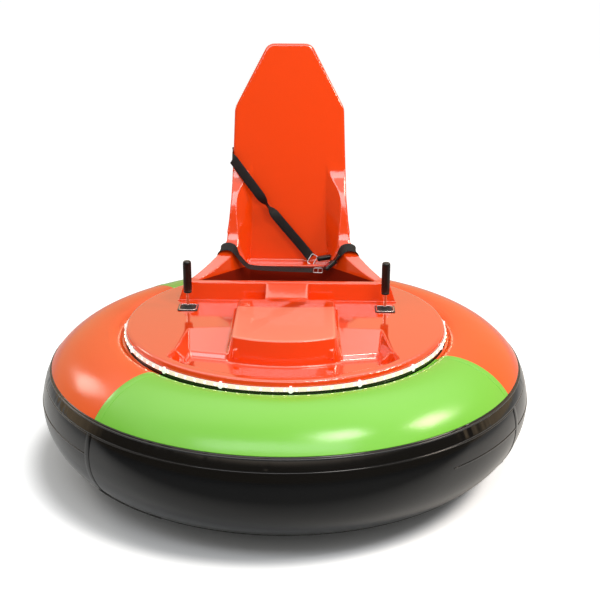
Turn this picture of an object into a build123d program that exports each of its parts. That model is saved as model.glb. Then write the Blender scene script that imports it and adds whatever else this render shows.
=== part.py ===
# Inflatable round bumper car: a moulded seat and deck on a steel chassis, inside a fat air-filled ring.
# Units are millimetres. The origin is on the floor under the middle of the ring, +Z is up,
# the driver sits at +Y and looks along -Y, so +X is the driver's left.
from build123d import *
from math import atan2, cos, degrees, radians, sin, sqrt, tan
import os

# Inflated ring, whose section is an ellipse with a ledge pressed in where the deck stands on it
RING_OUTER_R = 900.0
RING_HALF_WIDTH = 0.27 * RING_OUTER_R
RING_HALF_HEIGHT = 226.5
RING_FLOOR_GAP = 35.5
RING_R = RING_OUTER_R - RING_HALF_WIDTH
RING_Z = RING_FLOOR_GAP + RING_HALF_HEIGHT
LEDGE_DROP = 22.5
LEDGE_Z = RING_Z + RING_HALF_HEIGHT - LEDGE_DROP
LEDGE_REACH = 7.0
SHOULDER_W = 43.0
SHOULDER_BULGE = (12.0, 13.0)
COVER_WALL = 2.5
COVER_GAP = 0.2
COVER_LOW_ANGLE = 33.4
# Seams between the coloured cover panels, in degrees round the ring from +X
SEAM_LEFT_FRONT = -134.7
SEAM_RIGHT_FRONT = -26.2
SEAM_RIGHT_REAR = 62.3
SEAM_LEFT_REAR = 137.3
SEAM_GAP = 0.06

# Deck moulding: a flat top, a flared side down to a lip, and a wall that stands on the ledge
FIT = 0.3
DECK_R = RING_R - 67.0
DECK_FLARE = 6.0
DECK_WALL = 6.0
DECK_EDGE_ROUND = 7.0
DECK_HEIGHT = 51.7
LIP_DROP = 19.5
LIP_STEP = 4.0
DECK_FOOT_Z = LEDGE_Z + FIT
DECK_Z = DECK_FOOT_Z + DECK_HEIGHT
LIP_Z = DECK_Z - LIP_DROP
WALL_R = DECK_R - LIP_STEP
LEDGE_R = DECK_R + LEDGE_REACH
COVER_INNER_R = LEDGE_R + 1.0

# Footwell, foot ramps and the console between the driver's legs
PIT_R = DECK_R - 42.0
PIT_HALF_W = PIT_R - 153.0
PIT_REAR_HALF_W = PIT_HALF_W - 17.0
PIT_REAR_Y = -313.0
PIT_DEPTH = 50.0
PIT_DRAFT = 16.0
PIT_CORNER_R = 22.0
RAMP_DROP = 30.0
RAMP_END_Y = -338.0
# Corners of a ramp, at its inner side and at its outer side, as (x, y)
RAMP_TOP_INNER = (174.0, -86.0)
RAMP_TOP_OUTER = (350.0, -101.0)
RAMP_TOP_END_X = 380.0
RAMP_LOW_INNER = (174.0, -284.0)
RAMP_LOW_OUTER = (333.0, -250.0)
RAMP_LOW_END_X = 345.0
TOE_RUN = 16.0
CONSOLE_HALF_W = 180.0
CONSOLE_REAR_Y = 118.0
CONSOLE_CORNER_Y = -290.0
CONSOLE_FRONT_Y = -328.0
CONSOLE_HEIGHT = 40.0
CONSOLE_CROWN = 6.0
CONSOLE_DRAFT = 14.0
CONSOLE_CORNER_R = 24.0
CONSOLE_EDGE_R = 6.0
POMMEL_HALF_W = 84.0
POMMEL_EDGE_R = 7.0

# Seat moulding
SEAT_PLANE_Z = DECK_Z + 72.0
RISER_BASE_Y = 202.0
RISER_TOP_Y = 214.0
SEAT_FRONT_HALF_W = 425.0
SEAT_REAR_HALF_W = 250.0
SEAT_REAR_Y = 515.0
WELL_FRONT_Y = 236.0
WELL_REAR_Y = 443.0
WELL_FRONT_HALF_W = 350.0
WELL_REAR_HALF_W = 163.0
WELL_FLOOR_Z = DECK_Z - 78.0
WELL_WALL = 6.0
WELL_FRONT_SLOPE = 14.0
WELL_REAR_SLOPE = 15.0
WING_REAR_X = 268.0
WING_REAR_Y = 455.0
WING_HIGH_X = 375.0
WING_HIGH_REAR_X = 248.0
WING_HIGH = 130.0
BACK_FOOT_Y = 512.0
BACK_RECLINE = 9.6
BACK_THICKNESS = 45.0
BACK_TOP_Z = SEAT_PLANE_Z + 866.0
BACK_TOP_HALF_W = 87.0
BACK_LOW_HALF_W = 235.0
BACK_TOP_R = 42.0
SHOULDER_HALF_W = 222.0
SHOULDER_Z = SEAT_PLANE_Z + 614.0
SHOULDER_R = 60.0
BACK_RIM_R = 9.0
BOLSTER_TOP_Z = SEAT_PLANE_Z + 422.0
BOLSTER_DEEP_X = 150.0

# Edge lamp strip and its clips
APRON_T = 3.3
APRON_R = WALL_R + FIT
STRIP_T = 4.5
STRIP_H = 14.0
STRIP_R = APRON_R + APRON_T + FIT
CLIP_COUNT = 16
CLIP_FIRST = -87.1
CLIP_W = 17.0
CLIP_T = 2.5
CLIP_TAB_H = 4.5

# Control levers
LEVER_X = 376.0
LEVER_Y = 114.0
LEVER_PLATE = 75.0
LEVER_PLATE_T = 3.0
LEVER_SLOT = (22.0, 38.0)
LEVER_PIVOT_DROP = 22.0
LEVER_PIN_D = 8.0
STEM_D = 12.0
GRIP_D = 32.0
GRIP_LOW_Z = DECK_Z + 63.0
GRIP_TOP_Z = GRIP_LOW_Z + 126.0
BOOT_LOW_R = 30.0
BOOT_HIGH_R = 24.5
BOOT_FOLDS = 3
BOOT_HEIGHT = 13.0
BOOT_WALL = 1.6
BRACKET_W = 34.0
BRACKET_DROP = 46.0
CHEEK_T = 4.0

# Running gear
DRIVE_WHEEL_R = 100.0
DRIVE_WHEEL_W = 48.0
DRIVE_WHEEL_X = 268.0
RIM_R = 62.0
AXLE_D = 20.0
CASTER_R = 50.0
CASTER_W = 32.0
CASTER_Y = 270.0
CASTER_TRAIL = 34.0
GEARBOX_OUT_X = 226.0
GEARBOX_IN_X = 150.0
GEARBOX_LENGTH = 112.0
GEARBOX_LOW_Z = 42.0
GEARBOX_ROUND = 14.0
MOTOR_R = 48.0
MOTOR_END_X = 24.0
HUB_BOSS_R = 21.0
HUB_HOLES = 5
HUB_HOLE_R = 9.0
HUB_HOLE_RING_R = 39.0
CASTER_PLATE = (86.0, 66.0, 5.0)
CASTER_RACE_R = 24.0
CASTER_RACE_H = 11.0
CASTER_PIN_R = 5.0
FORK_W = 50.0
FORK_T = 3.0

# Chassis
RAIL = 40.0
RAIL_WALL = 3.0
RAIL_X = 170.0
RAIL_Z = 150.0
HOOP_TUBE_R = 12.5
HOOP_R = RING_R - RING_HALF_WIDTH - FIT - HOOP_TUBE_R
RAIL_END_Y = sqrt(HOOP_R ** 2 - RAIL_X ** 2) - 11.4
MIDDLE_BEAM_Y = 90.0
BOLT_HOLE_R = 6.5
BOLT_Y = 200.0
JACK_PAD = 36.0
JACK_PAD_T = 4.0
POST_W = 25.0
FRONT_POST_TURN = 48.0
REAR_POST_Y = 300.0
BATTERY = (196.0, 130.0, 168.0)
BATTERY_GAP = 4.0
TRAY = (290.0, 320.0, 28.0)
TRAY_Y = 130.0
TRAY_T = 3.0
CONTROLLER = (170.0, 110.0, 55.0)
CONTROLLER_Y = -90.0

# Belt webbing
WEBBING_W = 38.0
WEBBING_T = 2.4
LAP_Y = 415.0
LAP_STAND_OFF = 5.0
LAP_RUN_Y = 376.0
ANCHOR_T = 3.0
TONGUE = (40.0, 44.0, 5.0)
BUCKLE = (54.0, 40.0, 18.0)


def ring_section(grow):
    """Section of the ring, grown by a gap, with the ledge and the rounded shoulder beside it."""
    ledge_y = LEDGE_Z - RING_Z
    ledge_x = LEDGE_R - RING_R
    shoulder_x = ledge_x + SHOULDER_W
    shoulder_y = RING_HALF_HEIGHT * sqrt(1 - (shoulder_x / RING_HALF_WIDTH) ** 2)
    slant = grow * sin(radians(45))
    rise = ThreePointArc((ledge_x - grow, ledge_y),
                         (ledge_x + SHOULDER_BULGE[0] - slant, ledge_y + SHOULDER_BULGE[1] + slant),
                         (shoulder_x, shoulder_y + grow))
    inner_x = -RING_HALF_WIDTH - 20
    high_y = RING_HALF_HEIGHT + 20
    air = make_face([rise, Line(rise @ 1, (shoulder_x, high_y)), Line((shoulder_x, high_y), (inner_x, high_y)),
                     Line((inner_x, high_y), (inner_x, ledge_y)), Line((inner_x, ledge_y), rise @ 0)])
    return Ellipse(RING_HALF_WIDTH + grow, RING_HALF_HEIGHT + grow) - air


def round_car(section, start=0, sweep=360):
    """Solid from a section drawn with x as the radius and y as the height."""
    return Rot(0, 0, start) * revolve(Plane.XZ * section, Axis.Z, sweep)


def ring():
    """Black air-filled ring."""
    return round_car(Pos(RING_R, RING_Z) * ring_section(0))


def cover(panels):
    """Coloured panels over the upper part of the ring, one for each pair of seams."""
    low = (1.5 * RING_HALF_WIDTH * cos(radians(COVER_LOW_ANGLE)), 1.5 * RING_HALF_HEIGHT * sin(radians(COVER_LOW_ANGLE)))
    inner_x = COVER_INNER_R - RING_R
    high_y = 2 * RING_HALF_HEIGHT
    upper = make_face(Polyline((inner_x, 0), (0, 0), low, (low[0], high_y), (inner_x, high_y), close=True))
    sheet = (ring_section(COVER_GAP + COVER_WALL) - ring_section(COVER_GAP)) & upper
    return Compound(children=[round_car(Pos(RING_R, RING_Z) * sheet, a + SEAM_GAP, b - a - 2 * SEAM_GAP)
                              for a, b in panels])


def band(inner_r, thickness, low_z, high_z):
    """Upright band round the car."""
    middle = Pos(inner_r + thickness / 2, (low_z + high_z) / 2)
    return round_car(middle * Rectangle(thickness, high_z - low_z))


def ring_apron():
    """Black apron between the deck's lip and the ring."""
    return band(APRON_R, APRON_T, LEDGE_Z + FIT, LIP_Z - FIT)


def side_prism(points, half_width):
    """Solid with an outline drawn in the YZ plane, as wide each way as half_width."""
    return extrude(Plane.YZ * make_face(Polyline(*points, close=True)), half_width, both=True)


def plan_face(points):
    return make_face(Polyline(*points, close=True))


def mirrored(points):
    """Plan outline whose listed right half repeats on the left."""
    return points + [(-x, y) for x, y in reversed(points)]


def prismoid(low_z, low_points, high_z, high_points):
    """Straight-sided solid between two level outlines with as many corners."""
    low = Pos(0, 0, low_z) * plan_face(low_points)
    high = Pos(0, 0, high_z) * plan_face(high_points)
    return loft([low, high], ruled=True)


def console_plan(inset):
    half = CONSOLE_HALF_W - inset
    rear = CONSOLE_REAR_Y - inset
    corner = CONSOLE_CORNER_Y + inset
    front = CONSOLE_FRONT_Y + inset
    edges = [ThreePointArc((-half, corner), (0, front), (half, corner)), Line((half, corner), (half, rear)),
             Line((half, rear), (-half, rear)), Line((-half, rear), (-half, corner))]
    return fillet(make_face(edges).vertices(), CONSOLE_CORNER_R - inset)


def console(inset):
    """Console with drafted walls and a crowned top, from the footwell's floor up."""
    top_z = DECK_Z + CONSOLE_HEIGHT + CONSOLE_CROWN
    height = top_z - (DECK_Z - PIT_DEPTH)
    block = Pos(0, 0, top_z) * extrude(console_plan(inset), -height, taper=-CONSOLE_DRAFT)
    edge_z = DECK_Z + CONSOLE_HEIGHT - inset
    low_z = DECK_Z - PIT_DEPTH - 1
    front_y = CONSOLE_FRONT_Y - 60
    rear_y = CONSOLE_REAR_Y + 60
    crown = ThreePointArc((front_y, edge_z - 6), ((front_y + rear_y) / 2, edge_z + CONSOLE_CROWN),
                          (rear_y, edge_z - 6))
    outline = make_face([crown, Line(crown @ 1, (rear_y, low_z)), Line((rear_y, low_z), (front_y, low_z)),
                         Line((front_y, low_z), crown @ 0)])
    return block & extrude(Plane.YZ * outline, CONSOLE_HALF_W + 80, both=True)


def pommel():
    """Sloping block that joins the console to the seat's front edge."""
    low_y = CONSOLE_REAR_Y - 30
    step_z = DECK_Z + CONSOLE_HEIGHT - 2
    points = [(low_y, DECK_Z - DECK_WALL / 2), (RISER_BASE_Y - FIT, DECK_Z - DECK_WALL / 2),
              (RISER_BASE_Y - FIT, DECK_Z), (RISER_TOP_Y - FIT, SEAT_PLANE_Z - 1),
              (RISER_TOP_Y - 8, SEAT_PLANE_Z - 1), (CONSOLE_REAR_Y, step_z), (low_y, step_z)]
    block = side_prism(points, POMMEL_HALF_W)
    sides = [edge for edge in block.edges()
             if abs(edge.center().X) > POMMEL_HALF_W - 1 and edge.center().Z > step_z + 5 and edge.center().Y < RISER_TOP_Y - 8]
    return fillet(sides, POMMEL_EDGE_R)


def pit(wall):
    """Air of the footwell: a crescent-shaped pan in front of the console."""
    radius = PIT_R + wall
    end_x = PIT_HALF_W + wall
    end_y = -sqrt(radius ** 2 - end_x ** 2)
    rear = (PIT_REAR_HALF_W + wall, PIT_REAR_Y + wall)
    edges = [ThreePointArc((-end_x, end_y), (0, -radius), (end_x, end_y)), Line((end_x, end_y), rear),
             Line(rear, (-rear[0], rear[1])), Line((-rear[0], rear[1]), (-end_x, end_y))]
    outline = fillet(make_face(edges).vertices(), PIT_CORNER_R + wall)
    return Pos(0, 0, DECK_Z) * extrude(outline, -(PIT_DEPTH + wall), taper=PIT_DRAFT)


def ramp(side, wall):
    """Air over one foot ramp, which falls from the deck to the footwell."""
    top = [(RAMP_TOP_INNER[0], RAMP_TOP_INNER[1] + 5 * wall), (RAMP_TOP_OUTER[0] + 2 * wall, RAMP_TOP_OUTER[1] + 5 * wall),
           (RAMP_TOP_END_X + 2 * wall, RAMP_END_Y), (RAMP_TOP_INNER[0], RAMP_END_Y)]
    low = [(RAMP_LOW_INNER[0], RAMP_LOW_INNER[1] + wall), (RAMP_LOW_OUTER[0] + wall, RAMP_LOW_OUTER[1] + wall),
           (RAMP_LOW_END_X + wall, RAMP_END_Y), (RAMP_LOW_INNER[0], RAMP_END_Y)]
    return prismoid(DECK_Z - RAMP_DROP - wall, [(side * x, y) for x, y in low],
                    DECK_Z, [(side * x, y) for x, y in top])


def toe_well(wall):
    """Air between the low edges of the ramps and the footwell's floor."""
    top = [(RAMP_LOW_INNER[0], RAMP_LOW_INNER[1] + wall), (RAMP_LOW_OUTER[0] + wall, RAMP_LOW_OUTER[1] + wall),
           (RAMP_LOW_END_X + wall, RAMP_END_Y - 4)]
    low = [(x - TOE_RUN / 3, y - TOE_RUN) for x, y in top]
    return prismoid(DECK_Z - PIT_DEPTH - wall, mirrored(low), DECK_Z - RAMP_DROP, mirrored(top))


def seat_well(wall):
    """The sunk seat pan's outline, wider all round and deeper by a wall's thickness."""
    front_x = WELL_FRONT_HALF_W + 2.2 * wall
    rear_x = WELL_REAR_HALF_W + 0.6 * wall
    front_y = WELL_FRONT_Y - wall
    rear_y = WELL_REAR_Y + wall
    low = [(front_x - 2.5 * WELL_FRONT_SLOPE, front_y + WELL_FRONT_SLOPE), (rear_x - 13, rear_y - WELL_REAR_SLOPE)]
    return prismoid(WELL_FLOOR_Z - wall, mirrored(low), SEAT_PLANE_Z, mirrored([(front_x, front_y), (rear_x, rear_y)]))


def deck_rim():
    """Round cap of the deck with its flared side, lip and standing wall."""
    top_r = DECK_R - DECK_FLARE
    inner_r = WALL_R - DECK_WALL
    under_z = DECK_Z - DECK_WALL
    section = make_face(Polyline((0, DECK_Z), (top_r, DECK_Z), (DECK_R, LIP_Z), (WALL_R, LIP_Z), (WALL_R, DECK_FOOT_Z),
                                 (inner_r, DECK_FOOT_Z), (inner_r, under_z), (0, under_z), close=True))
    corner = section.vertices().sort_by_distance((top_r, DECK_Z))[0]
    return round_car(fillet(corner, DECK_EDGE_ROUND))


def deck():
    """Round deck moulding with its console, foot ramps and footwell."""
    pan = pit(DECK_WALL) + toe_well(DECK_WALL) + ramp(1, DECK_WALL) + ramp(-1, DECK_WALL)
    air = pit(0) + toe_well(0) + ramp(1, 0) + ramp(-1, 0)
    outer = console(0)
    outer = fillet(outer.faces().sort_by(Axis.Z)[-1].edges(), CONSOLE_EDGE_R)
    inner = console(DECK_WALL)
    shell = deck_rim() + pan - (air - outer)
    shell = shell + (outer - inner) + pommel() - inner
    slot = Pos(LEVER_X, LEVER_Y, DECK_Z) * Box(LEVER_SLOT[0] + 4, LEVER_SLOT[1] + 4, 30)
    return shell - seat_well(WELL_WALL + 1) - slot - mirror(slot, Plane.YZ)


def back_front_y(z):
    """Front face of the backrest at a height."""
    return BACK_FOOT_Y + (z - SEAT_PLANE_Z) * tan(radians(BACK_RECLINE))


def wing_side_x(y, z):
    """Outer side of a seat wing at a point along the car and a height."""
    low = SEAT_FRONT_HALF_W + (WING_REAR_X - SEAT_FRONT_HALF_W) * (y - RISER_BASE_Y) / (WING_REAR_Y - RISER_BASE_Y)
    high = WING_HIGH_X + (WING_HIGH_REAR_X - WING_HIGH_X) * (y - RISER_BASE_Y) / (WING_REAR_Y - 5 - RISER_BASE_Y)
    return low + (high - low) * (z - DECK_Z) / (SEAT_PLANE_Z + WING_HIGH - DECK_Z)


def back_rear_y(z):
    """Rear face of the backrest at a height."""
    return back_front_y(z) + BACK_THICKNESS / cos(radians(BACK_RECLINE))


def seat_side():
    """Side outline: riser, and wings that sweep up into the bolsters."""
    lean = radians(BACK_RECLINE)
    rise = [(RISER_TOP_Y + 36, 4), (RISER_TOP_Y + 130, 33), (BACK_FOOT_Y - 72, 91), (BACK_FOOT_Y - 44, 145), (BACK_FOOT_Y + 17, 290)]
    wing = Spline(*[(y, SEAT_PLANE_Z + up) for y, up in rise], (back_front_y(BOLSTER_TOP_Z), BOLSTER_TOP_Z),
                  tangents=[(1, 0.2), (sin(lean), cos(lean))])
    return make_face([wing, Polyline(wing @ 1, (back_rear_y(BOLSTER_TOP_Z), BOLSTER_TOP_Z),
                                     (back_rear_y(SEAT_PLANE_Z), SEAT_PLANE_Z), (back_rear_y(SEAT_PLANE_Z) - 1, DECK_Z),
                                     (RISER_BASE_Y, DECK_Z), (RISER_TOP_Y, SEAT_PLANE_Z), wing @ 0)])


def seat_front():
    """Front outline of the lower seat: flared wings that narrow to the backrest's sides."""
    flare = [(408, 0), (335, 32), (275, 74), (247, 150), (235, 260)]
    right = [(x, SEAT_PLANE_Z + up) for x, up in flare]
    left = [(-x, z) for x, z in reversed(right)]
    side_x = BACK_LOW_HALF_W + (SHOULDER_HALF_W - BACK_LOW_HALF_W) * (422 - 260) / (614 - 260)
    top = [(side_x, BOLSTER_TOP_Z), (-side_x, BOLSTER_TOP_Z)]
    foot = SEAT_FRONT_HALF_W + 5
    return make_face([Spline(*right), Polyline(right[-1], *top, left[0]), Spline(*left),
                      Polyline(left[-1], (-foot, DECK_Z), (foot, DECK_Z), right[0])])


def back_plate():
    """Backrest panel with cut shoulders and a rounded rim, drawn on its own leaning plane."""
    lean = radians(BACK_RECLINE)
    face = Plane(origin=(0, BACK_FOOT_Y, SEAT_PLANE_Z), x_dir=(1, 0, 0), z_dir=(0, -cos(lean), sin(lean)))
    half = [(BACK_LOW_HALF_W, 130), (BACK_LOW_HALF_W, 260), (SHOULDER_HALF_W, SHOULDER_Z - SEAT_PLANE_Z),
            (BACK_TOP_HALF_W, BACK_TOP_Z - SEAT_PLANE_Z)]
    outline = make_face(Polyline(*mirrored([(x, up / cos(lean)) for x, up in half]), close=True))
    for (x, up), radius in ((half[2], SHOULDER_R), (half[3], BACK_TOP_R)):
        for side in (-1, 1):
            outline = fillet(outline.vertices().sort_by_distance((side * x, up / cos(lean)))[0], radius)
    plate = extrude(face * outline, -BACK_THICKNESS)
    front = plate.faces().sort_by(Axis((0, 0, 0), (0, -cos(lean), sin(lean))))[-1]
    return fillet(front.edges(), BACK_RIM_R)


def seat():
    """Seat moulding: riser, wings, sunk pan, backrest and its bolsters."""
    plan_low = [(SEAT_FRONT_HALF_W, RISER_BASE_Y - 12), (SEAT_FRONT_HALF_W, RISER_BASE_Y), (WING_REAR_X, WING_REAR_Y),
                (SEAT_REAR_HALF_W, SEAT_REAR_Y), (150, 556)]
    plan_high = [(WING_HIGH_X, RISER_BASE_Y - 12), (WING_HIGH_X, RISER_BASE_Y), (WING_HIGH_REAR_X, WING_REAR_Y - 5),
                 (WING_HIGH_REAR_X, SEAT_REAR_Y), (230, 610)]
    high_z = SEAT_PLANE_Z + WING_HIGH
    plan = prismoid(DECK_Z, mirrored(plan_low), high_z, mirrored(plan_high))
    plan = plan + Pos(0, BACK_FOOT_Y, high_z) * Box(900, 800, BACK_TOP_Z - high_z, align=(Align.CENTER, Align.CENTER, Align.MIN))
    body = extrude(Plane.YZ * seat_side(), SEAT_FRONT_HALF_W + 40, both=True)
    body = (body & extrude(Plane.XZ * seat_front(), 800, both=True) & plan) + back_plate()
    rows = [(0, [(WELL_FRONT_HALF_W, WELL_FRONT_Y), (WELL_REAR_HALF_W, WELL_REAR_Y), (WELL_REAR_HALF_W, BACK_FOOT_Y)]),
            (150, [(430, 190), (221, 450)]), (330, [(470, 250), (280, 500)]), (430, [(500, 300), (280, 518)])]
    sections = []
    for up, points in rows:
        z = SEAT_PLANE_Z + up
        corners = points if len(points) == 3 else points + [(BOLSTER_DEEP_X, back_front_y(z))]
        sections.append(Pos(0, 0, z) * plan_face(mirrored(corners)))
    pan = seat_well(WELL_WALL) & Pos(0, 330, DECK_Z + 1) * Box(900, 500, 400, align=(Align.CENTER, Align.CENTER, Align.MAX))
    return body + pan - loft(sections, ruled=True) - seat_well(0)


def lamp_strip():
    """Flat lamp strip under the deck's lip, on the apron."""
    return band(STRIP_R, STRIP_T, LIP_Z - FIT - STRIP_H, LIP_Z - FIT)


def strip_clips():
    """Clips that hook over the lamp strip, evenly round the deck."""
    face_r = STRIP_R + STRIP_T + FIT
    low_z = LIP_Z - FIT - STRIP_H - 4
    tab_z = LIP_Z + FIT
    top_z = tab_z + CLIP_TAB_H
    side = make_face(Polyline((face_r, low_z), (face_r + CLIP_T, low_z), (face_r + CLIP_T, top_z), (DECK_R + FIT, top_z),
                              (DECK_R + FIT, tab_z), (face_r, tab_z), close=True))
    half = CLIP_W / 2
    front = make_face(Polyline((-3, low_z), (3, low_z), (half, low_z + 5), (half, tab_z), (4, tab_z), (4, top_z),
                               (-4, top_z), (-4, tab_z), (-half, tab_z), (-half, low_z + 5), close=True))
    clip = extrude(Plane.XZ * side, half, both=True) & Pos(face_r, 0, 0) * extrude(Plane.YZ * front, 12, both=True)
    return Compound(children=[Rot(0, 0, CLIP_FIRST + i * 360 / CLIP_COUNT) * clip for i in range(CLIP_COUNT)])


def both_sides(piece):
    """A piece and its mirror image across the middle of the car."""
    return Compound(children=[piece, mirror(piece, Plane.YZ)])


def lever_plate():
    base_z = DECK_Z + LEVER_PLATE_T / 2
    plate = Pos(LEVER_X, LEVER_Y, base_z) * Box(LEVER_PLATE, LEVER_PLATE, LEVER_PLATE_T)
    plate = fillet(plate.edges().filter_by(Axis.Z), 9)
    return plate - Pos(LEVER_X, LEVER_Y, base_z) * Box(LEVER_SLOT[0], LEVER_SLOT[1], 20)


def lever_boot():
    """Folded rubber boot that closes the slot round the stem."""
    fold_h = BOOT_HEIGHT / BOOT_FOLDS
    step = (BOOT_LOW_R - BOOT_HIGH_R) / BOOT_FOLDS
    points = []
    for i in range(BOOT_FOLDS):
        points += [(BOOT_LOW_R - i * step, i * fold_h), (BOOT_LOW_R - (i + 0.7) * step, (i + 0.9) * fold_h)]
    points.append((BOOT_HIGH_R, BOOT_HEIGHT))
    inside = [(radius - BOOT_WALL, height) for radius, height in reversed(points)]
    section = make_face(Polyline(*points, *inside, close=True))
    return Pos(LEVER_X, LEVER_Y, DECK_Z + LEVER_PLATE_T) * revolve(Plane.XZ * section, Axis.Z, 360)


def lever_bracket():
    """Bracket under the deck with the pin that the lever turns on."""
    pivot_z = DECK_Z - LEVER_PIVOT_DROP
    top_z = DECK_Z - DECK_WALL
    cheek_x = BRACKET_W / 2
    cheek = Box(CHEEK_T, BRACKET_W, BRACKET_DROP, align=(Align.CENTER, Align.CENTER, Align.MAX))
    bracket = Pos(LEVER_X - cheek_x, LEVER_Y, top_z) * cheek + Pos(LEVER_X + cheek_x, LEVER_Y, top_z) * cheek
    bracket += Pos(LEVER_X, LEVER_Y, top_z - BRACKET_DROP) * Box(BRACKET_W + CHEEK_T, BRACKET_W, CHEEK_T)
    pin = Pos(LEVER_X, LEVER_Y, pivot_z) * Rot(0, 90, 0) * Cylinder(LEVER_PIN_D / 2, BRACKET_W + 2 * CHEEK_T)
    return bracket + pin


def lever_stem():
    pivot = Pos(LEVER_X, LEVER_Y, DECK_Z - LEVER_PIVOT_DROP)
    boss = pivot * Rot(0, 90, 0) * Cylinder(9, 24)
    stem = Pos(LEVER_X, LEVER_Y, DECK_Z - LEVER_PIVOT_DROP) * Cylinder(
        STEM_D / 2, GRIP_TOP_Z - 10 - DECK_Z + LEVER_PIVOT_DROP, align=(Align.CENTER, Align.CENTER, Align.MIN))
    return boss + stem - pivot * Rot(0, 90, 0) * Cylinder(LEVER_PIN_D / 2 + FIT, 40)


def lever_grip():
    grip = Pos(LEVER_X, LEVER_Y, GRIP_LOW_Z) * Cylinder(GRIP_D / 2, GRIP_TOP_Z - GRIP_LOW_Z,
                                                        align=(Align.CENTER, Align.CENTER, Align.MIN))
    grip = fillet(grip.edges().filter_by(GeomType.CIRCLE), 4)
    return grip - Pos(LEVER_X, LEVER_Y, GRIP_LOW_Z - 1) * Cylinder(
        STEM_D / 2 + FIT / 3, GRIP_TOP_Z - 9 - GRIP_LOW_Z, align=(Align.CENTER, Align.CENTER, Align.MIN))


def tyre(radius, width, bore):
    body = Rot(0, 90, 0) * Cylinder(radius, width)
    body = fillet(body.edges().filter_by(GeomType.CIRCLE), width * 0.3)
    return body - Rot(0, 90, 0) * Cylinder(bore, width + 2)


def drive_tyre():
    return Pos(DRIVE_WHEEL_X, 0, DRIVE_WHEEL_R) * tyre(DRIVE_WHEEL_R, DRIVE_WHEEL_W, RIM_R)


def drive_hub():
    """Rim with its disc and the axle that runs into the gearbox."""
    axis = Pos(DRIVE_WHEEL_X, 0, DRIVE_WHEEL_R) * Rot(0, 90, 0)
    rim = axis * (Cylinder(RIM_R, DRIVE_WHEEL_W - 4) - Cylinder(RIM_R - 7, DRIVE_WHEEL_W))
    disc = axis * Cylinder(RIM_R - 5, 8)
    boss = axis * Cylinder(HUB_BOSS_R, DRIVE_WHEEL_W - 8)
    holes = [axis * Rot(0, 0, i * 360 / HUB_HOLES) * Pos(HUB_HOLE_RING_R, 0) * Cylinder(HUB_HOLE_R, 20)
             for i in range(HUB_HOLES)]
    axle = Pos(DRIVE_WHEEL_X, 0, DRIVE_WHEEL_R) * Rot(0, -90, 0) * Cylinder(
        AXLE_D / 2, DRIVE_WHEEL_X - GEARBOX_OUT_X + 28, align=(Align.CENTER, Align.CENTER, Align.MIN))
    return rim + disc + boss - holes + axle


def gearmotor():
    """Gearbox under the rail with its motor lying across the car."""
    box_w = GEARBOX_OUT_X - GEARBOX_IN_X
    box = Pos(GEARBOX_IN_X + box_w / 2, 0, RAIL_Z) * Box(box_w, GEARBOX_LENGTH, RAIL_Z - GEARBOX_LOW_Z,
                                                        align=(Align.CENTER, Align.CENTER, Align.MAX))
    box = fillet(box.edges().filter_by(Axis.X), GEARBOX_ROUND)
    motor = Pos(MOTOR_END_X, 0, DRIVE_WHEEL_R) * Rot(0, 90, 0) * Cylinder(
        MOTOR_R, GEARBOX_IN_X - MOTOR_END_X + 1, align=(Align.CENTER, Align.CENTER, Align.MIN))
    bore = Pos(GEARBOX_OUT_X - 30, 0, DRIVE_WHEEL_R) * Rot(0, 90, 0) * Cylinder(
        AXLE_D / 2 + FIT, 40, align=(Align.CENTER, Align.CENTER, Align.MIN))
    return box + motor - bore


def caster_mount(y):
    """Top plate and bearing race of a swivel caster, under a cross member."""
    plate = Pos(0, y, RAIL_Z) * Box(*CASTER_PLATE, align=(Align.CENTER, Align.CENTER, Align.MAX))
    race = Pos(0, y, RAIL_Z - CASTER_PLATE[2]) * Cylinder(CASTER_RACE_R, CASTER_RACE_H,
                                                          align=(Align.CENTER, Align.CENTER, Align.MAX))
    return plate + race


def caster_fork(y):
    """Caster fork with its kingpin crown and axle pin."""
    crown_z = RAIL_Z - CASTER_PLATE[2] - CASTER_RACE_H - FIT
    wheel_y = y + CASTER_TRAIL
    crown = Pos(0, y + CASTER_TRAIL / 2 - 6, crown_z) * Box(FORK_W, 62, 5, align=(Align.CENTER, Align.CENTER, Align.MAX))
    legs = []
    for side in (-1, 1):
        outline = [(y - 25, crown_z), (y + 44, crown_z), (wheel_y + 13, CASTER_R - 4), (wheel_y, CASTER_R - 13),
                   (wheel_y - 13, CASTER_R - 4)]
        legs.append(Pos(side * (FORK_W - FORK_T) / 2, 0, 0) * side_prism(outline, FORK_T / 2))
    pin = Pos(0, wheel_y, CASTER_R) * Rot(0, 90, 0) * Cylinder(CASTER_PIN_R, FORK_W + 6)
    return crown + legs + pin


def caster_wheel(y):
    wheel = tyre(CASTER_R, CASTER_W, CASTER_PIN_R + FIT)
    hub = Rot(0, 90, 0) * (Cylinder(14, FORK_W - 2 * FORK_T - 3) - Cylinder(CASTER_PIN_R + FIT, FORK_W))
    return Pos(0, y + CASTER_TRAIL, CASTER_R) * (wheel + hub)


def square_tube(length, axis_turn):
    tube = Box(length, RAIL, RAIL) - Box(length + 2, RAIL - 2 * RAIL_WALL, RAIL - 2 * RAIL_WALL)
    return Rot(0, 0, axis_turn) * tube


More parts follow.
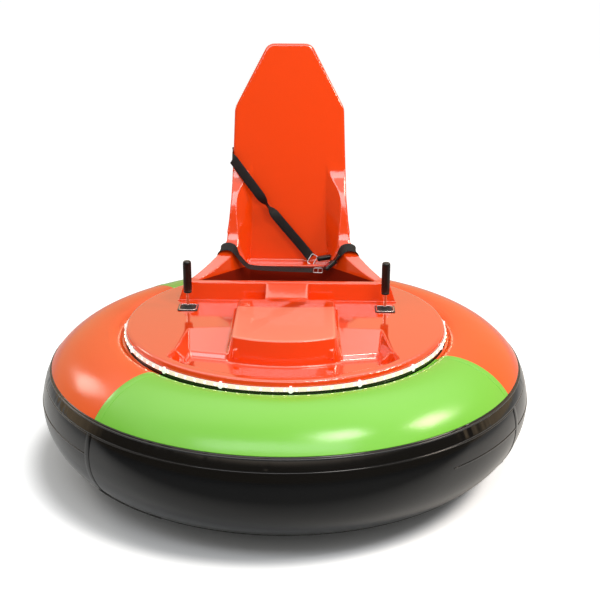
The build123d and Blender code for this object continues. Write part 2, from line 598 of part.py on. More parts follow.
def chassis():
    """Welded frame: two rails, cross members, posts under the mouldings and the hoop inside the ring."""
    mid_z = RAIL_Z + RAIL / 2
    frame = Pos(-RAIL_X, 0, mid_z) * square_tube(2 * RAIL_END_Y, 90)
    frame += Pos(RAIL_X, 0, mid_z) * square_tube(2 * RAIL_END_Y, 90)
    for y in (-CASTER_Y, -MIDDLE_BEAM_Y, MIDDLE_BEAM_Y, CASTER_Y):
        frame += Pos(0, y, mid_z) * square_tube(2 * RAIL_X - RAIL, 0)
    frame += Pos(0, 0, RING_Z) * Torus(HOOP_R, HOOP_TUBE_R)
    turn = radians(FRONT_POST_TURN)
    posts = [(RAIL_X, -RAIL_END_Y + 14, 0, RAIL_Z + RAIL, RING_Z), (RAIL_X, RAIL_END_Y - 14, 0, RAIL_Z + RAIL, RING_Z),
             (HOOP_R * cos(turn), -HOOP_R * sin(turn), -FRONT_POST_TURN, RING_Z, DECK_Z - PIT_DEPTH - DECK_WALL),
             (RAIL_X, REAR_POST_Y, 0, RAIL_Z + RAIL, WELL_FLOOR_Z - WELL_WALL), (HOOP_R, 0, 0, RING_Z, DECK_Z - DECK_WALL)]
    for x, y, post_turn, low_z, high_z in posts:
        post = Pos(x, y, low_z) * Rot(0, 0, post_turn) * Box(POST_W, POST_W, high_z - low_z,
                                                             align=(Align.CENTER, Align.CENTER, Align.MIN))
        frame = frame + post + mirror(post, Plane.YZ)
    for y in (-MIDDLE_BEAM_Y, MIDDLE_BEAM_Y):
        frame += Pos(0, y, RAIL_Z - JACK_PAD_T / 2) * Box(JACK_PAD, JACK_PAD, JACK_PAD_T)
    bolt = Cylinder(BOLT_HOLE_R, RAIL_WALL + 4)
    return frame - [Pos(x, y, RAIL_Z + RAIL_WALL / 2) * bolt for x in (-RAIL_X, RAIL_X) for y in (-BOLT_Y, BOLT_Y)]


def battery_tray():
    low = Pos(0, TRAY_Y, RAIL_Z + RAIL)
    tray = low * Box(*TRAY, align=(Align.CENTER, Align.CENTER, Align.MIN))
    return tray - low * Pos(0, 0, TRAY_T) * Box(TRAY[0] - 2 * TRAY_T, TRAY[1] - 2 * TRAY_T, TRAY[2],
                                                align=(Align.CENTER, Align.CENTER, Align.MIN))


def batteries():
    block = Box(*BATTERY, align=(Align.CENTER, Align.CENTER, Align.MIN))
    block = fillet(block.edges().filter_by(Axis.Z), 6)
    first_y = TRAY_Y - TRAY[1] / 2 + TRAY_T + 42 + BATTERY[1] / 2
    rows = (first_y, first_y + BATTERY[1] + BATTERY_GAP)
    return Compound(children=[Pos(0, y, RAIL_Z + RAIL + TRAY_T) * block for y in rows])


def controller():
    box = Pos(0, CONTROLLER_Y, RAIL_Z + RAIL) * Box(*CONTROLLER, align=(Align.CENTER, Align.CENTER, Align.MIN))
    return fillet(box.edges().filter_by(Axis.Z), 8)


def webbing(rows):
    """Flat webbing through a list of points, each with the direction of the webbing's width."""
    points = [Vector(*point) for point, _ in rows]
    sections = []
    for i, (point, across) in enumerate(rows):
        along = points[min(i + 1, len(points) - 1)] - points[max(i - 1, 0)]
        flat = Vector(*across) - along * (Vector(*across).dot(along) / along.dot(along))
        plane = Plane(origin=points[i], x_dir=flat, z_dir=along)
        sections.append(plane * Rectangle(WEBBING_W, WEBBING_T))
    return loft(sections, ruled=True)


def off_back(x, up, off):
    """Point in front of the backrest, or behind it with a negative distance, at a height over the seat plane."""
    z = SEAT_PLANE_Z + up
    return (x, back_front_y(z) - off, z)


def belt_shoulder():
    """Webbing from the back of the seat, round its right edge and across to the buckle."""
    edge_x = -231.2
    behind = -BACK_THICKNESS - 5.6
    return webbing([(off_back(92, 22, 34), (0.8, 0.1, 0.5)), (off_back(60, 60, 30), (0.8, 0, 0.6)),
                    (off_back(-80, 222, 29), (0.75, 0, 0.6)), (off_back(-224, 410, 31), (0.6, 0.1, 0.8)),
                    (off_back(edge_x, 418, 9), (0.04, 0, 1)), (off_back(edge_x, 424, -28), (0.04, 0, 1)),
                    (off_back(edge_x - 0.6, 428, behind), (0.04, 0.1, 1)), (off_back(-205, 432, behind), (0, 0.17, 1))])


def wing_turn():
    """Angle between a wing's outer side and the car's length."""
    return atan2(SEAT_FRONT_HALF_W - WING_REAR_X, WING_REAR_Y - RISER_BASE_Y)


def lap_over_wing(side):
    """Rows of a lap belt from its anchor on the deck, up the wing's outer side and over the wing."""
    along = (-side * sin(wing_turn()), cos(wing_turn()), 0)
    slope = (-side * 0.2, 0.75, 0.65)
    rows = [(wing_side_x(LAP_Y, DECK_Z) + LAP_STAND_OFF, LAP_Y, DECK_Z + 22, along),
            (wing_side_x(LAP_Y, SEAT_PLANE_Z + 48) + LAP_STAND_OFF, LAP_Y, SEAT_PLANE_Z + 48, along),
            (wing_side_x(LAP_Y, SEAT_PLANE_Z + 70) + LAP_STAND_OFF, LAP_Y, SEAT_PLANE_Z + 76, slope),
            (wing_side_x(LAP_Y, SEAT_PLANE_Z + 70) - 12, LAP_Y - 3, SEAT_PLANE_Z + 86, slope),
            (222, LAP_Y - 7, SEAT_PLANE_Z + 80, slope), (196, LAP_Y - 13, SEAT_PLANE_Z + 42, (0, 1, 0.3))]
    return [((side * x, y, z), across) for x, y, z, across in rows]


def belt_lap_right():
    """Webbing from its anchor outside the right wing, over the wing and across to the tongue."""
    return webbing(lap_over_wing(-1) + [((-150, LAP_RUN_Y + 12, SEAT_PLANE_Z + 8), (0, 1, 0.2)),
                                        ((100, LAP_RUN_Y, SEAT_PLANE_Z), (0.05, 1, 0.2))])


def belt_lap_left():
    """Webbing from its anchor outside the left wing, over the wing to the adjuster."""
    return webbing(lap_over_wing(1))


def belt_fittings():
    """Tongue and buckle where the webbing meets above the seat pan."""
    tongue = Pos(121, LAP_RUN_Y - 1, SEAT_PLANE_Z) * Rot(10, 0, -3) * Box(*TONGUE)
    buckle = Pos(170, LAP_RUN_Y + 16, SEAT_PLANE_Z + 18) * Rot(0, -35, 25) * fillet(Box(*BUCKLE).edges(), 5)
    return tongue, buckle


def belt_anchor():
    """Steel bracket on the deck that holds the left lap belt."""
    x = wing_side_x(LAP_Y, DECK_Z) + LAP_STAND_OFF
    ear_x = WEBBING_T / 2 + FIT + ANCHOR_T / 2
    length = WEBBING_W + 8
    foot = Pos(ear_x + 16, 0, 0) * Box(34, length, ANCHOR_T, align=(Align.CENTER, Align.CENTER, Align.MIN))
    ear = Pos(ear_x, 0, 0) * Box(ANCHOR_T, length, 34, align=(Align.CENTER, Align.CENTER, Align.MIN))
    return Pos(x, LAP_Y, DECK_Z) * Rot(0, 0, degrees(wing_turn())) * (foot + ear)


def write(name, shape):
    shape.label = name
    export_step(shape, f"parts/{name}.step")


def main():
    os.makedirs("parts", exist_ok=True)
    write("ring_tube", ring())
    write("ring_cover_orange", cover([(SEAM_LEFT_REAR, SEAM_LEFT_FRONT + 360), (SEAM_RIGHT_FRONT, SEAM_RIGHT_REAR)]))
    write("ring_cover_green", cover([(SEAM_LEFT_FRONT, SEAM_RIGHT_FRONT), (SEAM_RIGHT_REAR, SEAM_LEFT_REAR)]))
    write("ring_apron", ring_apron())
    write("deck_moulding", deck())
    write("seat_moulding", seat())
    write("lamp_strip", lamp_strip())
    write("lamp_strip_clips", strip_clips())
    write("lever_plates", both_sides(lever_plate()))
    write("lever_boots", both_sides(lever_boot()))
    write("lever_brackets", both_sides(lever_bracket()))
    write("lever_stem_left", lever_stem())
    write("lever_grip_left", lever_grip())
    write("lever_stem_right", mirror(lever_stem(), Plane.YZ))
    write("lever_grip_right", mirror(lever_grip(), Plane.YZ))
    write("drive_tyre_left", drive_tyre())
    write("drive_hub_left", drive_hub())
    write("drive_tyre_right", mirror(drive_tyre(), Plane.YZ))
    write("drive_hub_right", mirror(drive_hub(), Plane.YZ))
    write("gearmotors", both_sides(gearmotor()))
    write("caster_mounts", Compound(children=[caster_mount(-CASTER_Y), caster_mount(CASTER_Y)]))
    for name, y in (("front", -CASTER_Y), ("rear", CASTER_Y)):
        write(f"caster_fork_{name}", caster_fork(y))
        write(f"caster_wheel_{name}", caster_wheel(y))
    tongue, buckle = belt_fittings()
    write("belt_shoulder", belt_shoulder())
    write("belt_lap_right", belt_lap_right())
    write("belt_lap_left", belt_lap_left())
    write("belt_tongue", tongue)
    write("belt_buckle", buckle)
    write("belt_anchors", both_sides(belt_anchor()))
    write("chassis_frame", chassis())
    write("battery_tray", battery_tray())
    write("batteries", batteries())
    write("controller_box", controller())


main()
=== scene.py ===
from math import atan2, cos, pi, radians, sin, tan, tau

import bmesh
import bpy
from mathutils import Matrix, Vector


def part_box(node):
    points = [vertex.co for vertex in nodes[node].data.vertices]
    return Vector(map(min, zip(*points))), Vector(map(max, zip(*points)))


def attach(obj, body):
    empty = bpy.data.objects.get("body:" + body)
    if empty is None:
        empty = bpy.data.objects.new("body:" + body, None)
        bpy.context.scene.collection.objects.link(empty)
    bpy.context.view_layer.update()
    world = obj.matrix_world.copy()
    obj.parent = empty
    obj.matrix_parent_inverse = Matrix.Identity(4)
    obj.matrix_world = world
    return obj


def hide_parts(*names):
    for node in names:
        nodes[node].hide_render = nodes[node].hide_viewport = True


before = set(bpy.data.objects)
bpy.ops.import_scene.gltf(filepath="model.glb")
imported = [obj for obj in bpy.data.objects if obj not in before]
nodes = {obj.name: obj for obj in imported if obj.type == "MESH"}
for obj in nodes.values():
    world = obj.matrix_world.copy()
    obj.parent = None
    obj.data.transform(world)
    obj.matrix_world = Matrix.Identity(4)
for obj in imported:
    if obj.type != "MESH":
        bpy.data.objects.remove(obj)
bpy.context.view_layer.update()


# Camera: a studio view from the front, a little above the driver's shoulder height.
# The car stands turned by a degree or so from the lens axis.
CAMERA_DISTANCE = 3.852
CAMERA_HEIGHT = 1.926
CAMERA_PITCH = 19.09
CAMERA_PAN = 0.785
CAMERA_ROLL = 0.33
CAR_TURN = 1.33
LENS = 66.0

turn = Matrix.Rotation(radians(CAR_TURN), 4, "Z")
aim = Matrix.Rotation(radians(-CAMERA_PAN), 4, "Z") @ Matrix.Rotation(radians(90 - CAMERA_PITCH), 4, "X")
camera_data = bpy.data.cameras.new("studio_camera")
camera_data.lens = LENS
camera_data.sensor_width = 36
camera_data.clip_end = 100
camera = bpy.data.objects.new("studio_camera", camera_data)
place = Matrix.Translation((0, -CAMERA_DISTANCE, CAMERA_HEIGHT))
camera.matrix_world = turn @ place @ aim @ Matrix.Rotation(radians(CAMERA_ROLL), 4, "Z")
bpy.context.scene.collection.objects.link(camera)
bpy.context.scene.camera = camera
bpy.context.scene.view_settings.view_transform = "Standard"


# Studio floor: matt white board that goes on past the view.
# Camera and glass rays see its own white glow away from the car, so that it reads as paper; the glow fades
# out near the car, sooner on the left, which paints a shadow round the car that leans to the left.
FLOOR_HALF = 30.0
FLOOR_WHITE = "#F4F4F2"
# Settings of a ramp that starts and ends softly.
EASED = {"interpolation_type": "SMOOTHSTEP"}


def linear(colour):
    """The linear colour for one sRGB hex value."""
    parts = [int(colour[i:i + 2], 16) / 255 for i in (1, 3, 5)]
    return tuple([c / 12.92 if c <= 0.04045 else ((c + 0.055) / 1.055) ** 2.4 for c in parts] + [1.0])


def add(tree, kind, inputs=None, **settings):
    """Adds a node with its settings, and fills its inputs with values, outputs or nodes.

    A node stands for its first output. A kind without a prefix is a shader node, or else a geometry node.
    """
    if "Node" not in kind:
        kind = ("ShaderNode" if hasattr(bpy.types, "ShaderNode" + kind) else "GeometryNode") + kind
    node = tree.nodes.new(kind)
    for name, value in settings.items():
        setattr(node, name, value)
    for key, value in (inputs or {}).items():
        for source in value if isinstance(value, list) else [value]:
            if isinstance(source, bpy.types.Node):
                source = source.outputs[0]
            if isinstance(source, bpy.types.NodeSocket):
                tree.links.new(source, node.inputs[key])
            else:
                node.inputs[key].default_value = source
    return node


def new_material(name):
    """An empty node material and its tree."""
    made = bpy.data.materials.new(name)
    made.use_nodes = True
    made.node_tree.nodes.clear()
    return made, made.node_tree


def new_object(name, data):
    """Puts a mesh, a curve or a lamp into the scene as a named object at the origin."""
    made = bpy.data.objects.new(name, data)
    bpy.context.scene.collection.objects.link(made)
    return made


floor_paper, tree = new_material("white_floor_board")
paths = add(tree, "LightPath")
seen = add(tree, "Math", {0: paths.outputs["Is Camera Ray"], 1: paths.outputs["Is Transmission Ray"]},
           operation="MAXIMUM")
spot = add(tree, "TexCoord").outputs["Object"]
x, y, z = add(tree, "SeparateXYZ", {0: spot}).outputs
# Painted reflection: glossy rays alone see the board darker in front of the car, so the ring's glossy front
# mirrors a painted dim floor there.
dim = add(tree, "MapRange", {0: y, 1: -0.75, 2: -1.25, 3: 0.0, 4: 0.8})
dim = add(tree, "Math", {0: dim, 1: paths.outputs["Is Glossy Ray"]}, operation="MULTIPLY")
paper = add(tree, "Mix", {0: dim, 6: linear(FLOOR_WHITE), 7: linear("#101010")}, data_type="RGBA")
matt = add(tree, "BsdfDiffuse", {"Color": paper.outputs[2]})
# Painted shadow: the glow is nothing close to the car and rises away from it, sooner on the right, so the
# car's shadow is painted round it and leans to the left.
reach = add(tree, "VectorMath", {0: spot}, operation="LENGTH")
reach = add(tree, "Math", {0: x, 1: 0.12, 2: reach.outputs["Value"]}, operation="MULTIPLY_ADD")
far = add(tree, "MapRange", {0: reach, 1: 0.79, 2: 0.9, 3: 0.0, 4: 0.58}, **EASED)
glow = add(tree, "Emission", {"Color": (1, 1, 1, 1), "Strength": far})
both = add(tree, "AddShader", {0: matt, 1: glow})
mixed = add(tree, "MixShader", {0: seen, 1: matt, 2: both})
add(tree, "OutputMaterial", {"Surface": mixed})

board = bpy.data.meshes.new("studio_floor")
board.from_pydata([(-FLOOR_HALF, -FLOOR_HALF, 0), (FLOOR_HALF, -FLOOR_HALF, 0), (FLOOR_HALF, FLOOR_HALF, 0),
                   (-FLOOR_HALF, FLOOR_HALF, 0)], [], [(0, 1, 2, 3)])
board.materials.append(floor_paper)
new_object("studio_floor", board)


# Studio light: a pale room that the camera sees white, and that lights matt surfaces evenly.
# Mirror and glass rays meet a white backdrop behind the car, a bright ceiling and a dim room in front.
# Four soft boxes stand where the photo's highlights mirror them.
room = bpy.data.worlds.new("pale_studio")
room.use_nodes = True
bpy.context.scene.world = room
tree = room.node_tree
tree.nodes.clear()
paths = add(tree, "LightPath")
x, y, z = add(tree, "SeparateXYZ", {0: add(tree, "TexCoord").outputs["Generated"]}).outputs
backdrop = add(tree, "MapRange", {0: y, 1: -0.15, 2: 0.25, 3: 0.0, 4: 0.8}, **EASED)
ceiling = add(tree, "MapRange", {0: z, 1: 0.45, 2: 0.62, 3: 0.12, 4: 1.25}, **EASED)
mirrored_room = add(tree, "Math", {0: backdrop, 1: ceiling}, operation="MAXIMUM")
# A bank of tubes hangs over the backdrop: its light grows upwards, and the low part is warmer.
bank = add(tree, "MapRange", {0: z, 1: 0.55, 2: 0.85, 3: 0.0, 4: 1.1}, **EASED)
mirrored_room = add(tree, "Math", {0: backdrop, 1: bank, 2: mirrored_room}, operation="MULTIPLY_ADD")
warmth = add(tree, "MapRange", {0: z, 1: 0.35, 2: 0.7})
mirrored_tint = add(tree, "Mix", {0: warmth, 6: linear("#FFE0B4"), 7: linear("#FFF4EC")}, data_type="RGBA")
seen = add(tree, "Math", {0: paths.outputs["Is Glossy Ray"], 1: paths.outputs["Is Transmission Ray"]},
           operation="MAXIMUM")
matt_light = add(tree, "MapRange", {0: paths.outputs["Is Camera Ray"], 3: 0.48, 4: 1.0})
strength = add(tree, "Mix", {0: seen, 2: matt_light, 3: mirrored_room})
tint = add(tree, "Mix", {0: seen, 6: (1, 1, 1, 1), 7: mirrored_tint.outputs[2]}, data_type="RGBA")
light = add(tree, "Background", {"Color": tint.outputs[2], "Strength": strength})
add(tree, "OutputWorld", {"Surface": light})

# name, place, width, depth, watts, colour
SOFT_BOXES = [("overhead_softbox", (1.02, -1.45, 3.13), 0.8, 0.7, 30, "#FFFAF0"),
              ("right_softbox", (2.57, -0.46, 2.56), 0.9, 0.7, 36, "#FFEEDC"),
              ("rear_left_softbox", (-2.62, 1.14, 1.84), 0.8, 0.8, 11, "#FFFAF2"),
              ("front_strip_light", (-0.2, -2.5, 3.1), 3.8, 0.9, 36, "#F4F8FF")]
for name, where, width, depth, watts, colour in SOFT_BOXES:
    lamp_data = bpy.data.lights.new(name, "AREA")
    lamp_data.shape = "RECTANGLE"
    lamp_data.size = width
    lamp_data.size_y = depth
    lamp_data.energy = watts
    lamp_data.color = linear(colour)[:3]
    lamp = new_object(name, lamp_data)
    lamp.location = where
    lamp.rotation_euler = (Vector((0, 0, 0.5)) - Vector(where)).to_track_quat("-Z", "Y").to_euler()


# Chassis: welded square tube and a round hoop in mild steel, powder coated satin black.
# M12 bolts hold the battery tray and the caster plates to it; only the caster plates' bolts are drawn.


def dress(material, *names):
    """Gives CAD nodes a material in their own slots."""
    for name in names:
        node = nodes[name]
        if not node.material_slots:
            node.data.materials.append(material)
        for slot in node.material_slots:
            slot.material = material


def relief(tree, where, scale, strength, distance, under=None, detail=2.0):
    """The bump of a noise, over another bump where there is one under it."""
    noise = add(tree, "TexNoise", {"Vector": where, "Scale": scale, "Detail": detail})
    inputs = {"Height": noise, "Strength": strength, "Distance": distance}
    return add(tree, "Bump", {**inputs, "Normal": under} if under else inputs)


def patches(tree, where, scale, detail, low, high):
    """A cloudy noise, and the roughness that it spreads from low to high."""
    cloud = add(tree, "TexNoise", {"Vector": where, "Scale": scale, "Detail": detail})
    return cloud, add(tree, "MapRange", {0: cloud, 1: 0.3, 2: 0.7, 3: low, 4: high})


def coated(name, colour, roughness, grain_mm, depth, metallic=0.0, spread=0.06):
    """Painted, plated or moulded finish: a grain of a real size, and slightly uneven gloss and colour."""
    made, tree = new_material(name)
    where = add(tree, "TexCoord").outputs["Object"]
    bump = relief(tree, where, 1000 / grain_mm, depth, 0.001, detail=3.0)
    cloud, rough = patches(tree, where, 9.0, 4.0, roughness - spread, roughness + spread)
    other_tone = tuple(c * 0.82 for c in linear(colour)[:3]) + (1.0,)
    tint = add(tree, "Mix", {0: cloud, 6: linear(colour), 7: other_tone}, data_type="RGBA")
    add(tree, "OutputMaterial", {"Surface": add(tree, "BsdfPrincipled", {
        "Base Color": tint.outputs[2], "Metallic": metallic, "Roughness": rough, "Normal": bump})})
    return made


def new_geometry_tree(name, inputs):
    """Geometry tree with named inputs; gives the tree and the inputs' outputs."""
    tree = bpy.data.node_groups.new(name, "GeometryNodeTree")
    tree.interface.new_socket("Geometry", in_out="OUTPUT", socket_type="NodeSocketGeometry")
    for label, kind in inputs.items():
        tree.interface.new_socket(label, in_out="INPUT", socket_type="NodeSocket" + kind)
    return tree, add(tree, "NodeGroupInput").outputs


def close_tree(tree, shape, material, smooth=False):
    """Ends a geometry tree with real faces of one material, and gives the tree back."""
    if smooth:
        shape = add(tree, "SetShadeSmooth", {"Geometry": shape})
    shape = add(tree, "RealizeInstances", {"Geometry": shape})
    shape = add(tree, "SetMaterial", {"Geometry": shape, "Material": material})
    add(tree, "NodeGroupOutput", {0: shape})
    return tree


def grow(name, tree, values):
    """Evaluates a geometry tree with its named inputs and gives the result as a plain object."""
    holder = new_object(name, bpy.data.meshes.new(name))
    modifier = holder.modifiers.new("maker", "NODES")
    modifier.node_group = tree
    for item in tree.interface.items_tree:
        if item.item_type == "SOCKET" and item.in_out == "INPUT" and item.name in values:
            modifier[item.identifier] = values[item.name]
    graph = bpy.context.evaluated_depsgraph_get()
    made = bpy.data.meshes.new_from_object(holder.evaluated_get(graph), preserve_all_data_layers=True,
                                           depsgraph=graph)
    solid = bmesh.new()
    solid.from_mesh(made)
    bmesh.ops.recalc_face_normals(solid, faces=solid.faces)
    solid.to_mesh(made)
    solid.free()
    holder.modifiers.clear()
    holder.data = made
    made.name = name
    return holder


# Fasteners stand on marked points, each with the way its head looks.
tree, given = new_geometry_tree("fasteners", {
    "Places": "Object", "Head sides": "Int", "Head radius": "Float", "Head height": "Float",
    "Washer radius": "Float", "Washer height": "Float", "Material": "Material"})
spots = add(tree, "GeometryNodeObjectInfo", {"Object": given["Places"]})
head = add(tree, "MeshCylinder", {
    "Vertices": given["Head sides"], "Radius": given["Head radius"], "Depth": given["Head height"]})
washer = add(tree, "MeshCylinder", {
    "Vertices": 20, "Radius": given["Washer radius"], "Depth": given["Washer height"]})
half = add(tree, "Math", {0: given["Head height"], 1: 0.5}, operation="MULTIPLY")
up = add(tree, "CombineXYZ", {2: half})
head = add(tree, "Transform", {"Geometry": head, "Translation": up})
one = add(tree, "JoinGeometry", {0: [head, washer]})
axis = add(tree, "InputNamedAttribute", {"Name": "axis"}, data_type="FLOAT_VECTOR")
facing = add(tree, "FunctionNodeAlignRotationToVector", {"Vector": axis}, axis="Z")
stood = add(tree, "InstanceOnPoints", {
    "Points": spots.outputs["Geometry"], "Instance": one, "Rotation": facing})
fastener_tree = close_tree(tree, stood, given["Material"])


def fasten(name, spots, material, sides, radius, height, washer=1.35, thick=0.0016):
    """Bolts or screws of one kind at (place, axis) pairs; washer is its share of the head's radius."""
    marks = bpy.data.meshes.new(name + "_marks")
    marks.from_pydata([place for place, _ in spots], [], [])
    looks = marks.attributes.new("axis", "FLOAT_VECTOR", "POINT")
    for mark, (_, axis) in zip(looks.data, spots):
        mark.vector = axis
    holder = new_object(name + "_marks", marks)
    made = grow(name, fastener_tree, {
        "Places": holder, "Head sides": sides, "Head radius": radius, "Head height": height,
        "Washer radius": radius * washer, "Washer height": thick, "Material": material})
    bpy.data.objects.remove(holder)
    return made


# Powder coat: 60 to 80 micron polyester, satin, with a 2 mm orange peel.
powder_black = coated("powder_coated_steel_black", "#1C1D1F", 0.38, 2.0, 0.25)
dress(powder_black, "chassis_frame", "lever_brackets", "battery_tray", "belt_anchors")
# Bright zinc plate: cool grey metal with a fine spangle.
zinc = coated("bright_zinc_plated_steel", "#C3C6CB", 0.3, 5.0, 0.12, metallic=1.0)

CASTER_Y = 0.27
caster_spots = [((x, end * CASTER_Y + y, 0.1445), (0, 0, -1))
                for end in (-1, 1) for x in (-0.034, 0.034) for y in (-0.024, 0.024)]
bolts = fasten("caster_plate_bolts", caster_spots, zinc, 6, 0.0065, 0.005)
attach(bolts, "root")


# Drive: two gearmotors with black painted cast housings, hanging between the rails.
# Sand-cast skin under the paint shows as a coarser grain; M8 bolts close each gearbox.
cast_black = coated("painted_cast_iron", "#232427", 0.45, 3.5, 0.5)
dress(cast_black, "gearmotors")
gear_spots = [((side * 0.2262, y, z), (side, 0, 0))
              for side in (-1, 1) for y in (-0.042, 0.042) for z in (0.058, 0.134)]
bolts = fasten("gearbox_bolts", gear_spots, zinc, 6, 0.0065, 0.0055)
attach(bolts, "root")

# Drive wheels: sand-cast aluminium rims, and solid rubber tyres with chevron blocks moulded on the tread.
WHEEL_X = 0.268
WHEEL_R = 0.1
CORE_R = WHEEL_R - 0.0045
TREAD_COUNT = 36
STUD_CIRCLE = 0.039
SMOOTH_BELOW = radians(35)
cast_aluminium = coated("sand_cast_aluminium", "#B4B6BA", 0.36, 1.6, 0.3, metallic=1.0)
dress(cast_aluminium, "drive_hub_left", "drive_hub_right")
tyre_rubber = coated("moulded_tyre_rubber", "#202021", 0.72, 1.2, 0.5)


def solid_object(name, shape, material):
    """Turns a bmesh into a named object of one material."""
    mesh = bpy.data.meshes.new(name)
    shape.to_mesh(mesh)
    shape.free()
    mesh.materials.append(material)
    return new_object(name, mesh)


def lathe(name, profile, steps, material, place=Matrix()):
    """Turns a closed profile of (radius, height) points about Z into a solid, then sets it in its place."""
    shape = bmesh.new()
    rings = []
    for radius, height in profile:
        ring = []
        for i in range(steps if radius > 1e-6 else 1):
            angle = tau * i / steps
            ring.append(shape.verts.new((radius * cos(angle), radius * sin(angle), height)))
        rings.append(ring)
    closed = profile[0][0] > 1e-6
    pairs = list(zip(rings, rings[1:])) + ([(rings[-1], rings[0])] if closed else [])
    for low, high in pairs:
        for i in range(steps):
            j = (i + 1) % steps
            corners = (low[i % len(low)], low[j % len(low)], high[j % len(high)], high[i % len(high)])
            corners = list(dict.fromkeys(corners))
            if len(corners) > 2:
                shape.faces.new(corners)
    bmesh.ops.recalc_face_normals(shape, faces=shape.faces)
    shape.transform(place)
    for face in shape.faces:
        face.smooth = True
    made = solid_object(name, shape, material)
    made.data.set_sharp_from_angle(angle=SMOOTH_BELOW)
    return made


def merge(name, parts):
    """Joins objects of one material into the first and gives it a name."""
    whole = bmesh.new()
    for part in parts:
        whole.from_mesh(part.data)
    whole.to_mesh(parts[0].data)
    whole.free()
    for part in parts[1:]:
        bpy.data.objects.remove(part)
    parts[0].name = name
    parts[0].data.name = name
    return parts[0]


tree, given = new_geometry_tree("tyre_tread", {
    "Wheel place": "Vector", "Tread radius": "Float", "Blocks": "Int", "Block size": "Vector",
    "Slant": "Float", "Material": "Material"})
circle = add(tree, "MeshCircle", {"Vertices": given["Blocks"], "Radius": given["Tread radius"]})
block = add(tree, "MeshCube", {"Size": given["Block size"]})
halves = []
for side in (-1, 1):
    shift = add(tree, "CombineXYZ", {2: side * 0.0105})
    slant = add(tree, "Math", {0: given["Slant"], 1: float(side)}, operation="MULTIPLY")
    lean = add(tree, "CombineXYZ", {0: slant})
    halves.append(add(tree, "Transform", {"Geometry": block, "Translation": shift, "Rotation": lean}))
chevron = add(tree, "JoinGeometry", {0: halves})
outward = add(tree, "FunctionNodeAlignRotationToVector", {"Vector": add(tree, "InputPosition")},
              axis="X", pivot_axis="Z")
stood = add(tree, "InstanceOnPoints", {"Points": circle, "Instance": chevron, "Rotation": outward})
upright = add(tree, "Transform", {
    "Geometry": stood, "Translation": given["Wheel place"], "Rotation": (0, pi / 2, 0)})
tread_tree = close_tree(tree, upright, given["Material"])

# Radius and place across the tyre, round its closed section.
TYRE = [(0.0622, -0.0235), (0.075, -0.0239), (0.088, -0.0222), (CORE_R - 0.002, -0.0165), (CORE_R, -0.01)]
TYRE_SECTION = TYRE + [(radius, -across) for radius, across in reversed(TYRE)]
for side, word in ((1, "left"), (-1, "right")):
    centre = (side * WHEEL_X, 0, WHEEL_R)
    wheel = Matrix.Translation(centre) @ Matrix.Rotation(pi / 2, 4, "Y")
    carcass = lathe(f"tyre_carcass_{word}", TYRE_SECTION, 96, tyre_rubber, wheel)
    blocks = grow(f"tyre_blocks_{word}", tread_tree, {
        "Wheel place": centre, "Tread radius": CORE_R, "Blocks": TREAD_COUNT,
        "Block size": (0.0085, 0.0095, 0.021), "Slant": radians(24), "Material": tyre_rubber})
    tyre = merge(f"drive_tyre_tread_{word}", [carcass, blocks])
    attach(tyre, f"drive_wheel_{word}")
    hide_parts(f"drive_tyre_{word}")
    angles = [radians(18 + 72 * i) for i in range(5)]
    hub_spots = [((side * 0.2722, STUD_CIRCLE * cos(angle), WHEEL_R + STUD_CIRCLE * sin(angle)), (side, 0, 0))
                 for angle in angles]
    studs = fasten(f"wheel_studs_{word}", hub_spots, zinc, 6, 0.0062, 0.006)
    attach(studs, f"drive_wheel_{word}")

# Casters: zinc-plated pressed steel forks and mounts, grey rubber rollers.
dress(zinc, "caster_mounts", "caster_fork_front", "caster_fork_rear")
roller_rubber = coated("grey_roller_rubber", "#4B4C4E", 0.6, 1.2, 0.4)
dress(roller_rubber, "caster_wheel_front", "caster_wheel_rear")
for end, word in ((-1, "front"), (1, "rear")):
    pins = [((side * 0.0256, end * CASTER_Y + 0.034, 0.05), (side, 0, 0)) for side in (-1, 1)]
    nuts = fasten(f"caster_pin_nuts_{word}", pins, zinc, 6, 0.0085, 0.0055)
    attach(nuts, f"caster_{word}")


# Batteries and controller: polypropylene cases held down in the tray, and a die-cast finned aluminium box.
# Each case has two lead posts with M8 clamp nuts.
battery_case = coated("moulded_polypropylene_black", "#262729", 0.5, 0.9, 0.35)
dress(battery_case, "batteries")
dress(cast_aluminium, "controller_box")
case_low, case_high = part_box("batteries")
posts = [((x, y, case_high.z), (0, 0, 1))
         for y in (case_low.y + 0.022, case_high.y - 0.022) for x in (-0.07, 0.07)]
nuts = fasten("battery_post_nuts", posts, zinc, 6, 0.008, 0.009, thick=0.004)
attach(nuts, "root")


def block(name, size, bevel, material, place, segments=4):
    """Block with its edges rounded, or only broken by one segment, set in its place."""
    shape = bmesh.new()
    bmesh.ops.create_cube(shape, size=1.0)
    shape.transform(Matrix.Diagonal((*size, 1)))
    bmesh.ops.bevel(shape, geom=shape.edges[:], offset=bevel, segments=segments, profile=0.5, affect="EDGES")
    shape.transform(place)
    for face in shape.faces:
        face.smooth = segments > 1
    return solid_object(name, shape, material)


box_low, box_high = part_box("controller_box")
fins = []
for i in range(11):
    x = box_low.x + 0.012 + i * (box_high.x - box_low.x - 0.024) / 10
    middle = Matrix.Translation((x, (box_low.y + box_high.y) / 2, box_high.z + 0.0055))
    size = (0.0024, box_high.y - box_low.y - 0.016, 0.013)
    fins.append(block("fin", size, 0.0007, cast_aluminium, middle, segments=1))
fins = merge("controller_fins", fins)
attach(fins, "root")


